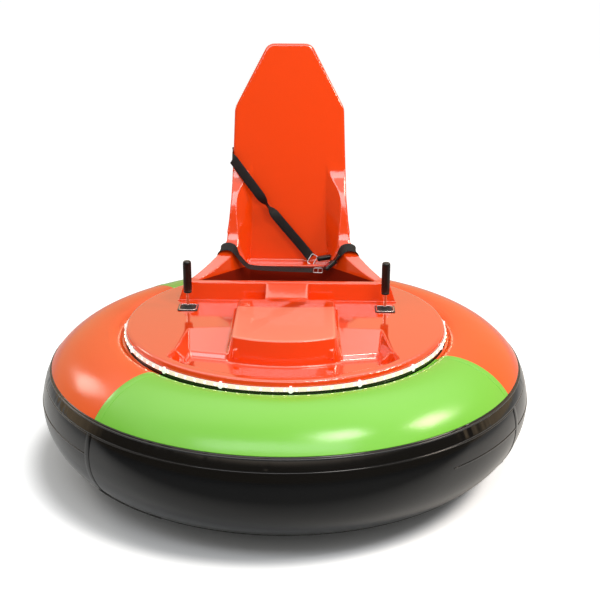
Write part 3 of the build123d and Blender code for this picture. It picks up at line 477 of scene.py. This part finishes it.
# Air-filled ring: PVC-coated polyester tarpaulin, cut in gores and hot-air welded, then blown up hard.
# Its section is an ellipse, pressed in to a ledge where the deck stands, with a soft shoulder beside it.
tube_low, tube_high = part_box("ring_tube")
HALF_WIDTH = 0.27 * tube_high.x
HALF_HEIGHT = (tube_high.z - tube_low.z) / 2
RING_R = tube_high.x - HALF_WIDTH
RING_Z = (tube_high.z + tube_low.z) / 2
LEDGE_Y = HALF_HEIGHT - 0.0225
LEDGE_X = -0.052
SHOULDER_X = -0.006
PIPING_ANGLE = 31.0
SECOND_SEAM_ANGLE = 21.5
LOWER_SEAM_ANGLE = -52.0
GORE_FOOT = -34.0


def bare_skin(angle):
    """Point of the ring's section at an angle of its ellipse, from the ring's centre line."""
    x = HALF_WIDTH * cos(radians(angle))
    y = HALF_HEIGHT * sin(radians(angle))
    if y > 0 and x < LEDGE_X:
        y = min(y, LEDGE_Y)
    elif y > 0 and x < SHOULDER_X:
        share = (x - LEDGE_X) / (SHOULDER_X - LEDGE_X)
        y = LEDGE_Y + (HALF_HEIGHT * 0.9976 - LEDGE_Y) * (1 - (1 - share) ** 2.75)
    return Vector((x, y))


def skin(angle, lift=0.0):
    """The same point as a radius from the centre line and a height over the floor, moved outwards by lift."""
    along = (bare_skin(angle + 0.4) - bare_skin(angle - 0.4)).normalized()
    point = bare_skin(angle) + lift * Vector((along.y, -along.x))
    return (point.x, point.y + RING_Z)


def arc(begin, end, steps, lift=0.0):
    """Points of the skin from one angle to another."""
    return [skin(begin + (end - begin) * i / steps, lift) for i in range(steps + 1)]


def curve_object(name, points, closed=False):
    """A run of straight pieces as a curve, to be swept or to sweep along."""
    data = bpy.data.curves.new(name, "CURVE")
    data.dimensions = "3D"
    spline = data.splines.new("POLY")
    spline.points.add(len(points) - 1)
    for point, place in zip(spline.points, points):
        point.co = (*place, 0, 1) if len(place) == 2 else (*place, 1)
    spline.use_cyclic_u = closed
    return new_object(name, data)


# A band sweeps a section round the car. Its puckers run across it in patches, and fade out at its edges.
tree, given = new_geometry_tree("inflated_band", {
    "Section": "Object", "Path radius": "Float", "Start": "Float", "Sweep": "Float", "Steps": "Int",
    "Pucker depth": "Float", "Pucker length": "Float", "Pucker foot": "Float", "Pucker head": "Float",
    "Material": "Material"})
profile = add(tree, "GeometryNodeObjectInfo", {"Object": given["Section"]})
factor = add(tree, "SplineParameter").outputs["Factor"]
profile = add(tree, "StoreNamedAttribute", {
    "Geometry": profile.outputs["Geometry"], "Name": "across", "Value": factor}, data_type="FLOAT")
path = add(tree, "CurveArc", {
    "Resolution": given["Steps"], "Radius": given["Path radius"], "Start Angle": given["Start"],
    "Sweep Angle": given["Sweep"]})
swept = add(tree, "CurveToMesh", {"Curve": path, "Profile Curve": profile})
merged = add(tree, "MergeByDistance", {"Geometry": swept, "Distance": 0.00002})
spot = add(tree, "InputPosition")
level = add(tree, "VectorMath", {0: spot, 1: (1, 1, 0)}, operation="MULTIPLY")
heading = add(tree, "VectorMath", {0: level}, operation="NORMALIZE")
waves = add(tree, "Math", {0: given["Path radius"], 1: given["Pucker length"]}, operation="DIVIDE")
wave_place = add(tree, "VectorMath", {0: heading, "Scale": waves}, operation="SCALE")
wave = add(tree, "TexNoise", {"Vector": wave_place, "Scale": 1.0, "Detail": 1.0})
patch = add(tree, "TexNoise", {"Vector": heading, "Scale": 5.0, "Detail": 0.0})
patch = add(tree, "MapRange", {0: patch, 1: 0.46, 2: 0.6, 3: 0.12, 4: 1.0}, **EASED)
across = add(tree, "InputNamedAttribute", {"Name": "across"}, data_type="FLOAT")
rise = add(tree, "MapRange", {0: across, 1: given["Pucker foot"], 2: given["Pucker head"]}, **EASED)
back = add(tree, "MapRange", {0: across, 1: 1.0, 2: 0.9}, **EASED)
height = add(tree, "Math", {0: wave, 1: 0.5}, operation="SUBTRACT")
for share in (patch, rise, back, given["Pucker depth"]):
    height = add(tree, "Math", {0: height, 1: share}, operation="MULTIPLY")
out = add(tree, "VectorMath", {0: add(tree, "InputNormal"), "Scale": height}, operation="SCALE")
shaped = add(tree, "SetPosition", {"Geometry": merged, "Offset": out})
plain = add(tree, "RemoveAttribute", {"Geometry": shaped, "Name": "across"})
band_tree = close_tree(tree, plain, given["Material"], smooth=True)


def ring_band(name, points, material, start=0.0, sweep=360.0, steps=360, closed=False,
              pucker=(0.0, 0.02, 0.0, 0.001)):
    """A band round the car from its section's points; pucker is depth, length, foot and head."""
    outline = curve_object(name + "_section", [(x, -z) for x, z in points], closed)
    made = grow(name, band_tree, {
        "Section": outline, "Path radius": RING_R, "Start": radians(start), "Sweep": radians(sweep),
        "Steps": steps, "Pucker depth": pucker[0], "Pucker length": pucker[1], "Pucker foot": pucker[2],
        "Pucker head": pucker[3], "Material": material})
    bpy.data.objects.remove(outline)
    return made


# A strip sweeps a small section along any run of points: tapes, beads, frames and bezels.
tree, given = new_geometry_tree("strip_along_a_run", {
    "Run": "Object", "Section": "Object", "Sideways": "Vector", "Turn": "Vector", "Material": "Material"})
run = add(tree, "GeometryNodeObjectInfo", {"Object": given["Run"]})
outline = add(tree, "GeometryNodeObjectInfo", {"Object": given["Section"]})
swept = add(tree, "CurveToMesh", {
    "Curve": run.outputs["Geometry"], "Profile Curve": outline.outputs["Geometry"], "Fill Caps": True})
moved = add(tree, "Transform", {"Geometry": swept, "Translation": given["Sideways"]})
turned = add(tree, "Transform", {"Geometry": moved, "Rotation": given["Turn"]})
strip_tree = close_tree(tree, turned, given["Material"], smooth=True)


def strip(name, run, section, material, closed=False, sideways=0.0, turn=0.0):
    """A solid strip along a run of 3-D points, moved sideways and then turned round the car in degrees."""
    path = curve_object(name + "_run", run, closed)
    outline = curve_object(name + "_section", section, True)
    made = grow(name, strip_tree, {"Run": path, "Section": outline, "Sideways": (0, sideways, 0),
                                   "Turn": (0, 0, radians(turn)), "Material": material})
    bpy.data.objects.remove(path)
    bpy.data.objects.remove(outline)
    return made


def flat_section(half_width, half_height):
    """Section of a tape or bar with rounded edges, the same above and below."""
    upper = [(-1.0, 0.0), (-0.96, 0.65), (-0.86, 1.0), (0.86, 1.0), (0.96, 0.65)]
    return [(x * half_width, y * half_height) for x, y in upper + [(-x, -y) for x, y in upper]]


def round_section(radius, sides=10):
    return [(radius * cos(tau * i / sides), radius * sin(tau * i / sides)) for i in range(sides)]


# PVC tarpaulin: a gloss lacquer over a woven base whose threads only just print through, drawn 1.5 mm apart.
# Long soft ripples follow the air pressure and show in the reflections.
def tarpaulin(name, colour, deep, gloss, ripple):
    made, tree = new_material(name)
    where = add(tree, "TexCoord").outputs["Object"]
    woven = relief(tree, where, 700.0, 0.06, 0.0006, relief(tree, where, 5.5, ripple, 0.006))
    cloud, rough = patches(tree, where, 3.0, 4.0, gloss * 0.75, gloss * 1.3)
    tint = add(tree, "Mix", {0: cloud, 6: linear(colour), 7: linear(deep)}, data_type="RGBA")
    add(tree, "OutputMaterial", {"Surface": add(tree, "BsdfPrincipled", {
        "Base Color": tint.outputs[2], "Roughness": rough, "IOR": 1.52, "Normal": woven})})
    return made


pvc_black = tarpaulin("pvc_tarpaulin_black", "#0A0B0C", "#0E0F10", 0.12, 0.16)
pvc_orange = tarpaulin("pvc_tarpaulin_orange", "#F9601A", "#F45816", 0.2, 0.2)
pvc_green = tarpaulin("pvc_tarpaulin_green", "#80CE45", "#79C73F", 0.2, 0.2)
pvc_piping = tarpaulin("pvc_piping_grey_black", "#2A2C2E", "#242628", 0.2, 0.05)

tube = ring_band("inflated_tube", arc(-180, 180, 120)[:-1], pvc_black, closed=True)
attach(tube, "root")
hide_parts("ring_tube")


# Coloured panels: PVC sheets glued over the tube's upper part, each with its edges turned under.
# Their inner edge is gathered round the deck, which leaves short puckers in it.
PANEL_LOW = 33.4
PANEL_HIGH = 105.4
PANEL_LIFT = 0.0027
PANELS = [("orange", pvc_orange, ((137.3, 225.3), (-26.2, 62.3))),
          ("green", pvc_green, ((-134.7, -26.2), (62.3, 137.3)))]
WELD_HALF = 0.015
# Each weld strip: the seam's bearing, and the side of it that is green.
GREEN_WELDS = [(-134.7, 1), (-26.2, -1), (62.3, 1), (137.3, -1)]
section = [skin(PANEL_LOW, -0.0004), skin(PANEL_LOW, 0.0014), skin(PANEL_LOW + 0.25, PANEL_LIFT)]
section += arc(PANEL_LOW + 0.5, PANEL_HIGH - 0.5, 72, PANEL_LIFT)
section += [skin(PANEL_HIGH - 0.2, PANEL_LIFT), skin(PANEL_HIGH, 0.0014), skin(PANEL_HIGH, -0.0004)]
for colour, pvc, spans in PANELS:
    made = []
    for begin, end in spans:
        made.append(ring_band(f"panel_{begin}", section, pvc, begin, end - begin, int(3.2 * (end - begin)),
                              pucker=(0.0012, 0.014, 0.72, 0.95)))
    if colour == "green":
        for seam, side in GREEN_WELDS:
            line = [(RING_R + x, 0, z) for x, z in arc(PANEL_LOW + 0.5, PANEL_HIGH - 1, 40, PANEL_LIFT)]
            made.append(strip(f"weld_{seam}", line, flat_section(WELD_HALF, 0.0009), pvc,
                              sideways=side * WELD_HALF, turn=seam))
    panel = merge(f"cover_panels_{colour}", made)
    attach(panel, "root")
    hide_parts(f"ring_cover_{colour}")

# Piping and wear band: a 7 mm bead under the panels, then a gathered band down to the second seam.
# Flat tapes cover the tube's own welds, round the car and down each gore.
bead_x, bead_z = skin(PIPING_ANGLE, 0.001)
bead = [(bead_x + x, bead_z + z) for x, z in round_section(0.0036)]
piping = ring_band("piping_bead", bead, pvc_piping, closed=True)
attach(piping, "root")
section = [skin(SECOND_SEAM_ANGLE, -0.0003)]
section += arc(SECOND_SEAM_ANGLE + 0.2, PANEL_LOW - 0.2, 16, 0.0016)
section += [skin(PANEL_LOW, -0.0003)]
tapes = [ring_band("wear_band", section, pvc_black, steps=1080, pucker=(0.0055, 0.02, 0.02, 0.3))]
# Angle on the section, half width, start and sweep; the gores in front and behind are cut lower.
for angle, half, start, sweep in (
        (SECOND_SEAM_ANGLE - 0.6, 0.0022, 0, 360), (LOWER_SEAM_ANGLE, 0.004, -118.7, 76.5),
        (LOWER_SEAM_ANGLE, 0.004, 78.3, 43), (3.0, 0.003, -52, 114.3), (3.0, 0.003, 137.3, 88)):
    x, z = skin(angle)
    lean = Vector(skin(angle + 1)) - Vector((x, z))
    lean.normalize()
    tape = [(x + lean.x * a + lean.y * b, z + lean.y * a - lean.x * b) for a, b in flat_section(half, 0.0013)]
    tapes.append(ring_band(f"seam_tape_{angle}_{start}", tape, pvc_black, start, sweep, closed=True))
for bearing, side in GREEN_WELDS:
    line = [(RING_R + x, 0, z) for x, z in arc(GORE_FOOT, SECOND_SEAM_ANGLE, 36)]
    tapes.append(strip(f"gore_weld_{bearing}", line, flat_section(0.013, 0.0013), pvc_black, turn=bearing))
    corner = []
    for i in range(13):
        swing = radians(7.5 * i)
        x, z = skin(GORE_FOOT + (LOWER_SEAM_ANGLE - GORE_FOOT) * sin(swing))
        way = radians(16 * (1 - cos(swing))) * side
        corner.append(((RING_R + x) * cos(way), (RING_R + x) * sin(way), z))
    tapes.append(strip(f"gore_corner_{bearing}", corner, round_section(0.004), pvc_black, turn=bearing))
tapes = merge("ring_weld_tapes", tapes)
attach(tapes, "root")

# Apron: an upright PVC skirt that closes the gap between the deck's lip and the ledge.
apron_low, apron_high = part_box("ring_apron")
outer = apron_high.x - RING_R
inner = outer - 0.0033
section = [(inner, apron_low.z), (outer, apron_low.z), (outer, apron_high.z), (inner, apron_high.z)]
apron = ring_band("ring_apron_skirt", section, pvc_black, closed=True)
apron.data.set_sharp_from_angle(angle=SMOOTH_BELOW)
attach(apron, "root")
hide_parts("ring_apron")

# Air valve: a moulded PVC boat valve welded in at the back, low on the tube's outer side.
VALVE = [(0.0, -0.004), (0.034, -0.004), (0.036, -0.001), (0.033, 0.0016), (0.026, 0.0026), (0.0255, 0.006),
         (0.024, 0.0075), (0.013, 0.0078), (0.012, 0.0052), (0.0, 0.0052)]
x, z = skin(-28.0)
valve_place = Matrix.Rotation(radians(97), 4, "Z") @ Matrix.Translation((RING_R + x, 0, z))
valve = lathe("air_valve", VALVE, 48, pvc_piping, valve_place @ Matrix.Rotation(radians(90 + 26), 4, "Y"))
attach(valve, "root")


# Deck and seat: hand-laid glass-fibre mouldings with a gloss orange polyester gel coat.
# Every edge has the soft radius that the mould needs, and the skin shows a faint long ripple of the glass.
GEL_ORANGE = "#F4460B"
GEL_WELL_SHADE = "#86200F"
GEL_PAINTED_SHEEN = "#F8A386"
SHEEN_BOW = -0.35
SHEEN_REAR = 0.015
CONSOLE_LEVEL = 0.556


def gelcoat(name, well_shade_colour):
    """Gel coat with a painted shade inside the sunk seat pan, where it turns dark maroon, and a painted sheen
    on the console's top, where it turns paler and duller.
    """
    made, tree = new_material(name)
    where = add(tree, "TexCoord").outputs["Object"]
    skin_bump = relief(tree, where, 260.0, 0.03, 0.0006, relief(tree, where, 14.0, 0.08, 0.004))
    _, rough = patches(tree, where, 4.0, 5.0, 0.07, 0.13)
    x, y, z = add(tree, "SeparateXYZ", {0: where}).outputs
    # Painted sheen: in front of a curved line the console's top is painted paler to stand for a bright
    # reflection, and made duller and less of a mirror.
    bow = add(tree, "Math", {0: x, 1: x}, operation="MULTIPLY")
    bow = add(tree, "Math", {0: bow, 1: SHEEN_BOW, 2: y}, operation="MULTIPLY_ADD")
    top = add(tree, "MapRange", {0: z, 1: CONSOLE_LEVEL - 0.004, 2: CONSOLE_LEVEL})
    other_tone = add(tree, "MapRange", {0: bow, 1: SHEEN_REAR, 2: SHEEN_REAR - 0.02, 4: top})
    rough = add(tree, "Mix", {0: other_tone, 2: rough, 3: 0.42})
    mirror = add(tree, "MapRange", {0: other_tone, 3: 1.0, 4: 0.45})
    painted_sheen = add(tree, "Math", {0: other_tone, 1: 0.55}, operation="MULTIPLY")
    # Painted shade: the deep seat pan is painted dark maroon inside, the shade that falls in the well.
    side = add(tree, "Math", {0: x}, operation="ABSOLUTE")
    slant = add(tree, "Math", {0: y, 1: 0.9034, 2: side}, operation="MULTIPLY_ADD")
    inside = add(tree, "MapRange", {0: slant, 1: 0.5705, 2: 0.5685})
    # place along an axis, and where the orange gives way to the well's painted shade
    for place, begin, end in ((z, 0.587, 0.5855), (y, 0.2335, 0.235), (y, 0.447, 0.4455)):
        share = add(tree, "MapRange", {0: place, 1: begin, 2: end})
        inside = add(tree, "Math", {0: inside, 1: share}, operation="MULTIPLY")
    tint = add(tree, "Mix", {0: inside, 6: linear(GEL_ORANGE), 7: linear(well_shade_colour)}, data_type="RGBA")
    tint = add(tree, "Mix", {0: painted_sheen, 6: tint.outputs[2], 7: linear(GEL_PAINTED_SHEEN)}, data_type="RGBA")
    add(tree, "OutputMaterial", {"Surface": add(tree, "BsdfPrincipled", {
        "Base Color": tint.outputs[2], "Roughness": rough, "IOR": 1.54, "Normal": skin_bump,
        "Coat Weight": mirror, "Coat Roughness": 0.07, "Coat IOR": 1.6, "Coat Normal": skin_bump})})
    return made


def moulding(name, node, material, voxel, keep):
    """The CAD moulding with its hard edges drawn round, as a laid-up shell comes off the mould."""
    shell = bmesh.new()
    shell.from_mesh(nodes[node].data)
    bmesh.ops.remove_doubles(shell, verts=shell.verts, dist=0.00005)
    rough_shell = solid_object(name, shell, material)
    for kind, settings in (("REMESH", {"mode": "VOXEL", "voxel_size": voxel, "use_smooth_shade": True}),
                           ("SMOOTH", {"factor": 0.5, "iterations": 10}), ("DECIMATE", {"ratio": keep})):
        modifier = rough_shell.modifiers.new(kind, kind)
        for setting, value in settings.items():
            setattr(modifier, setting, value)
    made = bpy.data.meshes.new_from_object(rough_shell.evaluated_get(bpy.context.evaluated_depsgraph_get()))
    made.name = name
    made.shade_smooth()
    rough_shell.modifiers.clear()
    rough_shell.data = made
    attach(rough_shell, "root")
    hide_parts(node)


coarse = 1.0
gel_deck = gelcoat("polyester_gelcoat_orange_deck_painted_sheen", GEL_ORANGE)
gel_seat = gelcoat("polyester_gelcoat_orange_seat_painted_well_shade", GEL_WELL_SHADE)
moulding("deck_shell", "deck_moulding", gel_deck, 0.003 * coarse, 0.35)
moulding("seat_shell", "seat_moulding", gel_seat, 0.003 * coarse, 0.45)
# The joint between the seat's riser and the deck is filled with a small gel-coated bead.
runs = [[(side * x, 0.2005, 0.5195) for x in (0.092, 0.424)] for side in (-1, 1)]
foot = merge("seat_foot_bead", [strip("foot_bead", run, round_section(0.0032), gel_deck) for run in runs])
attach(foot, "root")


# Edge lamps: a milky silicone band with 96 white lamps in it, held down by white nylon clips.
# Each clip hooks over the deck's lip and has one pan-head screw.
DECK_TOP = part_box("lever_plates")[0].z
LAMP_R = 0.5946
LAMP_Z = 0.4912
CLIP_FIRST = -87.1
CLIP_STEP = 22.5
# Silicone glows a little all along, because the lamps shine through it; the white nylon clips and their
# screws are given a painted glow, though no lamp is in them.
glowing = []
for name, colour, glow_colour, strength in (("milky_silicone_band", "#D8D0C8", "#FFDCD0", 0.62),
                                            ("moulded_nylon_white", "#E4E4E2", "#FFFFFF", 0.5)):
    made, tree = new_material(name)
    where = add(tree, "TexCoord").outputs["Object"]
    _, rough = patches(tree, where, 60.0, 2.0, 0.3, 0.42)
    add(tree, "OutputMaterial", {"Surface": add(tree, "BsdfPrincipled", {
        "Base Color": linear(colour), "Roughness": rough, "Emission Color": linear(glow_colour),
        "Emission Strength": strength})})
    glowing.append(made)
silicone, nylon = glowing
dress(silicone, "lamp_strip")
dress(nylon, "lamp_strip_clips")
# Lit lamp: a clear resin drop over a warm white chip, bright enough to show in the gloss panels.
lamp_lens, tree = new_material("lit_lamp_resin")
add(tree, "OutputMaterial", {"Surface": add(tree, "BsdfPrincipled", {
    "Base Color": linear("#FFF6DC"), "Roughness": 0.2, "Emission Color": linear("#FFF0C8"),
    "Emission Strength": 9.0})})


def lip_spot(radius, bearing):
    """A place on the deck's lip at a bearing in degrees, with the way out from there."""
    x, y = cos(radians(bearing)), sin(radians(bearing))
    return ((radius * x, radius * y, LAMP_Z), (x, y, 0))


bearings = [CLIP_FIRST + CLIP_STEP * i for i in range(16)]
lamp_spots = [lip_spot(LAMP_R, bearing + CLIP_STEP * (k + 0.5) / 6) for bearing in bearings for k in range(6)]
screw_spots = [lip_spot(0.5972, bearing) for bearing in bearings]
lamps = fasten("edge_lamps", lamp_spots, lamp_lens, 10, 0.0026, 0.0009, washer=1.2, thick=0.0004)
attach(lamps, "root")
# The nylon screws carry the clips' painted glow too.
screws = fasten("clip_screws", screw_spots, nylon, 12, 0.0034, 0.0012, washer=1.0, thick=0.0004)
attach(screws, "root")


# Levers: chromed steel stems with fluted rubber grips, in black steel plates screwed to the deck.
# A bright pressed ring holds each folded rubber boot down on its plate.
LEVER_X = 0.376
LEVER_Y = 0.114
SQUARENESS = 8
PLATE_SCREW = 0.0258
chrome = coated("polished_chrome_plate", "#F0F1F3", 0.12, 6.0, 0.05, metallic=1.0, spread=0.03)
dress(chrome, "lever_stem_left", "lever_stem_right")
grip_rubber = coated("moulded_grip_rubber", "#060606", 0.36, 0.8, 0.3)
dress(powder_black, "lever_plates")
plate_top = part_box("lever_plates")[1].z
# Each boot is a low dish with one fold round the stem.
BOOT = [(0.0, -0.001), (0.0285, -0.001), (0.0285, 0.0012), (0.0215, 0.002), (0.0195, 0.0042), (0.017, 0.0048),
        (0.015, 0.0032), (0.0128, 0.004), (0.0112, 0.0075), (0.0096, 0.0082), (0.0, 0.0082)]
boot_rubber = coated("moulded_boot_rubber", "#0B0B0C", 0.7, 1.2, 0.3)
boots = []
for side in (-1, 1):
    boot = lathe("boot", BOOT, 48, boot_rubber)
    for vertex in boot.data.vertices:
        out = vertex.co.xy
        if out.length > 0.025:
            flat = out.normalized()
            vertex.co.xy = out / (flat.x ** SQUARENESS + flat.y ** SQUARENESS) ** (1 / SQUARENESS)
    boot.data.transform(Matrix.Translation((side * LEVER_X, LEVER_Y, plate_top)))
    boots.append(boot)
boots = merge("folded_rubber_boots", boots)
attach(boots, "root")
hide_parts("lever_boots")


def frame_run(half_x, half_y, place):
    """Rounded rectangle as a closed run of points."""
    run = []
    for i in range(32):
        angle = tau * (i + 0.5) / 32
        x, y = cos(angle), sin(angle)
        spread = 1 / (abs(x) ** SQUARENESS + abs(y) ** SQUARENESS) ** (1 / SQUARENESS)
        run.append(tuple(place @ Vector((half_x * spread * x, half_y * spread * y, 0))))
    return run


bezels = []
for side in (-1, 1):
    ring = frame_run(0.0322, 0.0322, Matrix.Translation((side * LEVER_X, LEVER_Y, plate_top + 0.0004)))
    bezels.append(strip("bezel", ring, flat_section(0.0022, 0.0018), chrome, closed=True))
bezels = merge("lever_boot_rings", bezels)
screw_spots = [((side * LEVER_X + x, LEVER_Y + y, plate_top), (0, 0, 1)) for side in (-1, 1)
               for x in (-PLATE_SCREW, PLATE_SCREW) for y in (-PLATE_SCREW, PLATE_SCREW)]
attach(bezels, "root")
screws = fasten("lever_plate_screws", screw_spots, zinc, 16, 0.0028, 0.0016, washer=1.0, thick=0.0004)
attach(screws, "root")
grip_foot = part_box("lever_grip_left")[0].z
GRIP = [(0.0, 0.0), (0.014, 0.0), (0.0155, 0.0015), (0.0155, 0.005), (0.0143, 0.007), (0.0158, 0.01),
        (0.016, 0.03), (0.016, 0.05), (0.016, 0.07), (0.016, 0.09), (0.016, 0.112), (0.0157, 0.117),
        (0.0147, 0.1215), (0.012, 0.1245), (0.0065, 0.1257), (0.0, 0.126)]
for side, word in ((1, "left"), (-1, "right")):
    grip = lathe(f"grip_sleeve_{word}", GRIP, 96, grip_rubber)
    for vertex in grip.data.vertices:
        if 0.015 < vertex.co.z < 0.115:
            flute = max(0.0, cos(12 * atan2(vertex.co.y, vertex.co.x))) ** 2
            vertex.co.xy *= 1 - 0.05 * flute
    grip.data.transform(Matrix.Translation((side * LEVER_X, LEVER_Y, grip_foot)))
    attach(grip, f"lever_{word}")
    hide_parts(f"lever_grip_{word}")


# Belts: 38 mm black polyester webbing, herringbone woven, sewn back on itself at each fitting.
# The shoulder belt turns over once on its way down; the lap belts hang over the seat's wings.
webbing, tree = new_material("woven_polyester_webbing")
x, y, z = add(tree, "SeparateXYZ", {0: add(tree, "TexCoord").outputs["UV"]}).outputs
# Threads are 0.8 mm in the real belt and drawn 2.4 mm apart, so that the herringbone shows.
zigzag = add(tree, "Math", {0: x, 1: 0.0048}, operation="PINGPONG")
rows = add(tree, "Math", {0: y, 1: zigzag}, operation="ADD")
rows = add(tree, "Math", {0: rows, 1: tau / 0.0024}, operation="MULTIPLY")
threads = add(tree, "Math", {0: rows}, operation="SINE")
bump = add(tree, "Bump", {"Height": threads, "Strength": 0.5, "Distance": 0.0003})
share = add(tree, "MapRange", {0: threads, 1: -1.0, 2: 1.0})
tint = add(tree, "Mix", {0: share, 6: linear("#070708"), 7: linear("#141517")}, data_type="RGBA")
add(tree, "OutputMaterial", {"Surface": add(tree, "BsdfPrincipled", {
    "Base Color": tint.outputs[2], "Roughness": 0.6, "Specular IOR Level": 0.35, "Normal": bump})})

WEBBING_HALF = 0.019
WEBBING_THIN = 0.0012
SPAN_STEPS = 14


def ribbon(name, rows, twist=None):
    """Webbing through rows of a place and its width's direction; twist is where and how far it turns over."""
    places = [Vector(place) for place, _ in rows]
    widths = [Vector(width).normalized() for _, width in rows]
    line = []
    for i in range(len(rows) - 1):
        for k in range(SPAN_STEPS + (i == len(rows) - 2)):
            share = k / SPAN_STEPS
            before, after = places[max(i - 1, 0)], places[min(i + 2, len(rows) - 1)]
            lean_in = (places[i + 1] - before) * 0.5
            lean_out = (after - places[i]) * 0.5
            limit = (places[i + 1] - places[i]).length
            lean_in = lean_in.normalized() * min(lean_in.length, limit)
            lean_out = lean_out.normalized() * min(lean_out.length, limit)
            s2, s3 = share ** 2, share ** 3
            spot = (places[i] * (2 * s3 - 3 * s2 + 1) + lean_in * (s3 - 2 * s2 + share)
                    + places[i + 1] * (3 * s2 - 2 * s3) + lean_out * (s3 - s2))
            line.append((spot, widths[i].lerp(widths[i + 1], 3 * s2 - 2 * s3)))
    outline = flat_section(WEBBING_HALF, WEBBING_THIN)
    mesh = bmesh.new()
    cloth = mesh.loops.layers.uv.new("UVMap")
    rings = []
    gone = 0.0
    for i, (spot, width) in enumerate(line):
        along = (line[min(i + 1, len(line) - 1)][0] - line[max(i - 1, 0)][0]).normalized()
        gone += (spot - line[i - 1][0]).length if i else 0.0
        width = (width - along * width.dot(along)).normalized()
        if twist:
            share = min(1.0, max(0.0, (gone - twist[0]) / twist[1] + 0.5))
            width = Matrix.Rotation(pi * share * share * (3 - 2 * share), 3, along) @ width
        face = along.cross(width)
        rings.append(([mesh.verts.new(spot + width * x + face * y) for x, y in outline], gone))
    around = len(outline)
    for (low, low_v), (high, high_v) in zip(rings, rings[1:]):
        for j in range(around):
            k = (j + 1) % around
            made = mesh.faces.new((low[j], low[k], high[k], high[j]))
            for loop, (at, v) in zip(made.loops, ((j, low_v), (k, low_v), (k, high_v), (j, high_v))):
                loop[cloth].uv = (outline[at][0] + WEBBING_HALF, v)
            made.smooth = True
    mesh.faces.new(list(reversed(rings[0][0])))
    mesh.faces.new(rings[-1][0])
    bmesh.ops.recalc_face_normals(mesh, faces=mesh.faces)
    return solid_object(name, mesh, webbing)


SEAT_Z = 0.59
BACK_Y = 0.512
RECLINE = tan(radians(9.6))


def over_wing(side):
    """Rows of a lap belt from its anchor on the deck, up the wing's outer side and over the wing."""
    along = (-side * 0.527, 0.85, 0)
    slope = (-side * 0.2, 0.75, 0.65)
    rows = [(0.2938, 0.415, 0.54, along), (0.2772, 0.415, 0.638, along), (0.27, 0.415, 0.666, slope),
            (0.25, 0.412, 0.6765, slope), (0.222, 0.408, 0.67, slope), (0.196, 0.402, 0.632, (0, 1, 0.3))]
    return [((side * x, y, z), width) for x, y, z, width in rows]


# Place across the back, height over the seat plane, distance in front of the back, and the width's direction.
SHOULDER = [(0.092, 0.022, 0.034, (0.8, 0.1, 0.5)), (0.06, 0.06, 0.03, (0.8, 0, 0.6)),
            (-0.08, 0.222, 0.029, (0.75, 0, 0.6)), (-0.224, 0.41, 0.031, (0.6, 0.1, 0.8)),
            (-0.2312, 0.418, 0.009, (0.04, 0, 1)), (-0.2312, 0.424, -0.028, (0.04, 0, 1)),
            (-0.2318, 0.428, -0.0506, (0.04, 0.1, 1)), (-0.205, 0.432, -0.0506, (0, 0.17, 1))]
shoulder = [((x, BACK_Y + up * RECLINE - off, SEAT_Z + up), width) for x, up, off, width in SHOULDER]
lap_right = over_wing(-1) + [((-0.15, 0.388, 0.598), (0, 1, 0.2)), ((0.1, 0.376, 0.59), (0.05, 1, 0.2))]
for name, rows, twist in (("shoulder", shoulder, (0.27, 0.13)), ("lap_right", lap_right, None),
                          ("lap_left", over_wing(1), None)):
    belt = ribbon(f"webbing_{name}", rows, twist)
    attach(belt, "root")
    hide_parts(f"belt_{name}")

# Belt fittings: pressed steel frames, and nylon housings with a red push button on the buckle.
buckle_plastic = coated("moulded_nylon_black", "#101011", 0.35, 0.8, 0.3)
button_plastic = coated("moulded_acetal_red", "#B3161B", 0.3, 0.8, 0.1)


def turned(x, y, z, about_x, about_y, about_z):
    return (Matrix.Translation((x, y, z)) @ Matrix.Rotation(radians(about_x), 4, "X")
            @ Matrix.Rotation(radians(about_y), 4, "Y") @ Matrix.Rotation(radians(about_z), 4, "Z"))


tongue_place = turned(0.121, 0.375, 0.59, 10, 0, -3)
bracket_place = turned(0.098, 0.474, 0.606, 62, 0, -30)
bar = [tuple(tongue_place @ Vector((0, y, 0))) for y in (-0.02, 0.02)]
tongue = [strip("tongue", frame_run(0.018, 0.02, tongue_place), round_section(0.0022), zinc, closed=True),
          strip("tongue_bar", bar, round_section(0.0022), zinc),
          strip("bracket", frame_run(0.013, 0.021, bracket_place), round_section(0.002), zinc, closed=True)]
tongue = merge("belt_steel_frames", tongue)
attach(tongue, "root")
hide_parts("belt_tongue")
buckle_place = turned(0.17, 0.392, 0.608, 0, -35, 25)
latch_place = turned(0.146, 0.462, 0.617, 0, -8, 8)
throat_place = buckle_place @ Matrix.Translation((-0.023, 0, 0))
adjuster_place = turned(0.196, 0.404, 0.636, 0, -55, 12)
# The housing's body and throat, the latch and the lap belt's adjuster.
buckle = [block("housing", size, bevel, buckle_plastic, place) for size, bevel, place in (
    ((0.054, 0.036, 0.017), 0.0045, buckle_place), ((0.014, 0.04, 0.011), 0.003, throat_place),
    ((0.058, 0.028, 0.018), 0.006, latch_place), ((0.03, 0.046, 0.007), 0.0025, adjuster_place))]
buckle = merge("belt_buckle_housings", buckle)
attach(buckle, "root")
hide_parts("belt_buckle")
button = block("buckle_button", (0.02, 0.024, 0.006), 0.0015, button_plastic,
               buckle_place @ Matrix.Translation((-0.012, 0, 0.0075)))
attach(button, "root")
anchor_spots = [((side * x, y, DECK_TOP + 0.003), (0, 0, 1))
                for side in (-1, 1) for x, y in ((0.3077, 0.4352), (0.3203, 0.4148))]
bolts = fasten("belt_anchor_bolts", anchor_spots, zinc, 6, 0.0065, 0.005)
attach(bolts, "root")
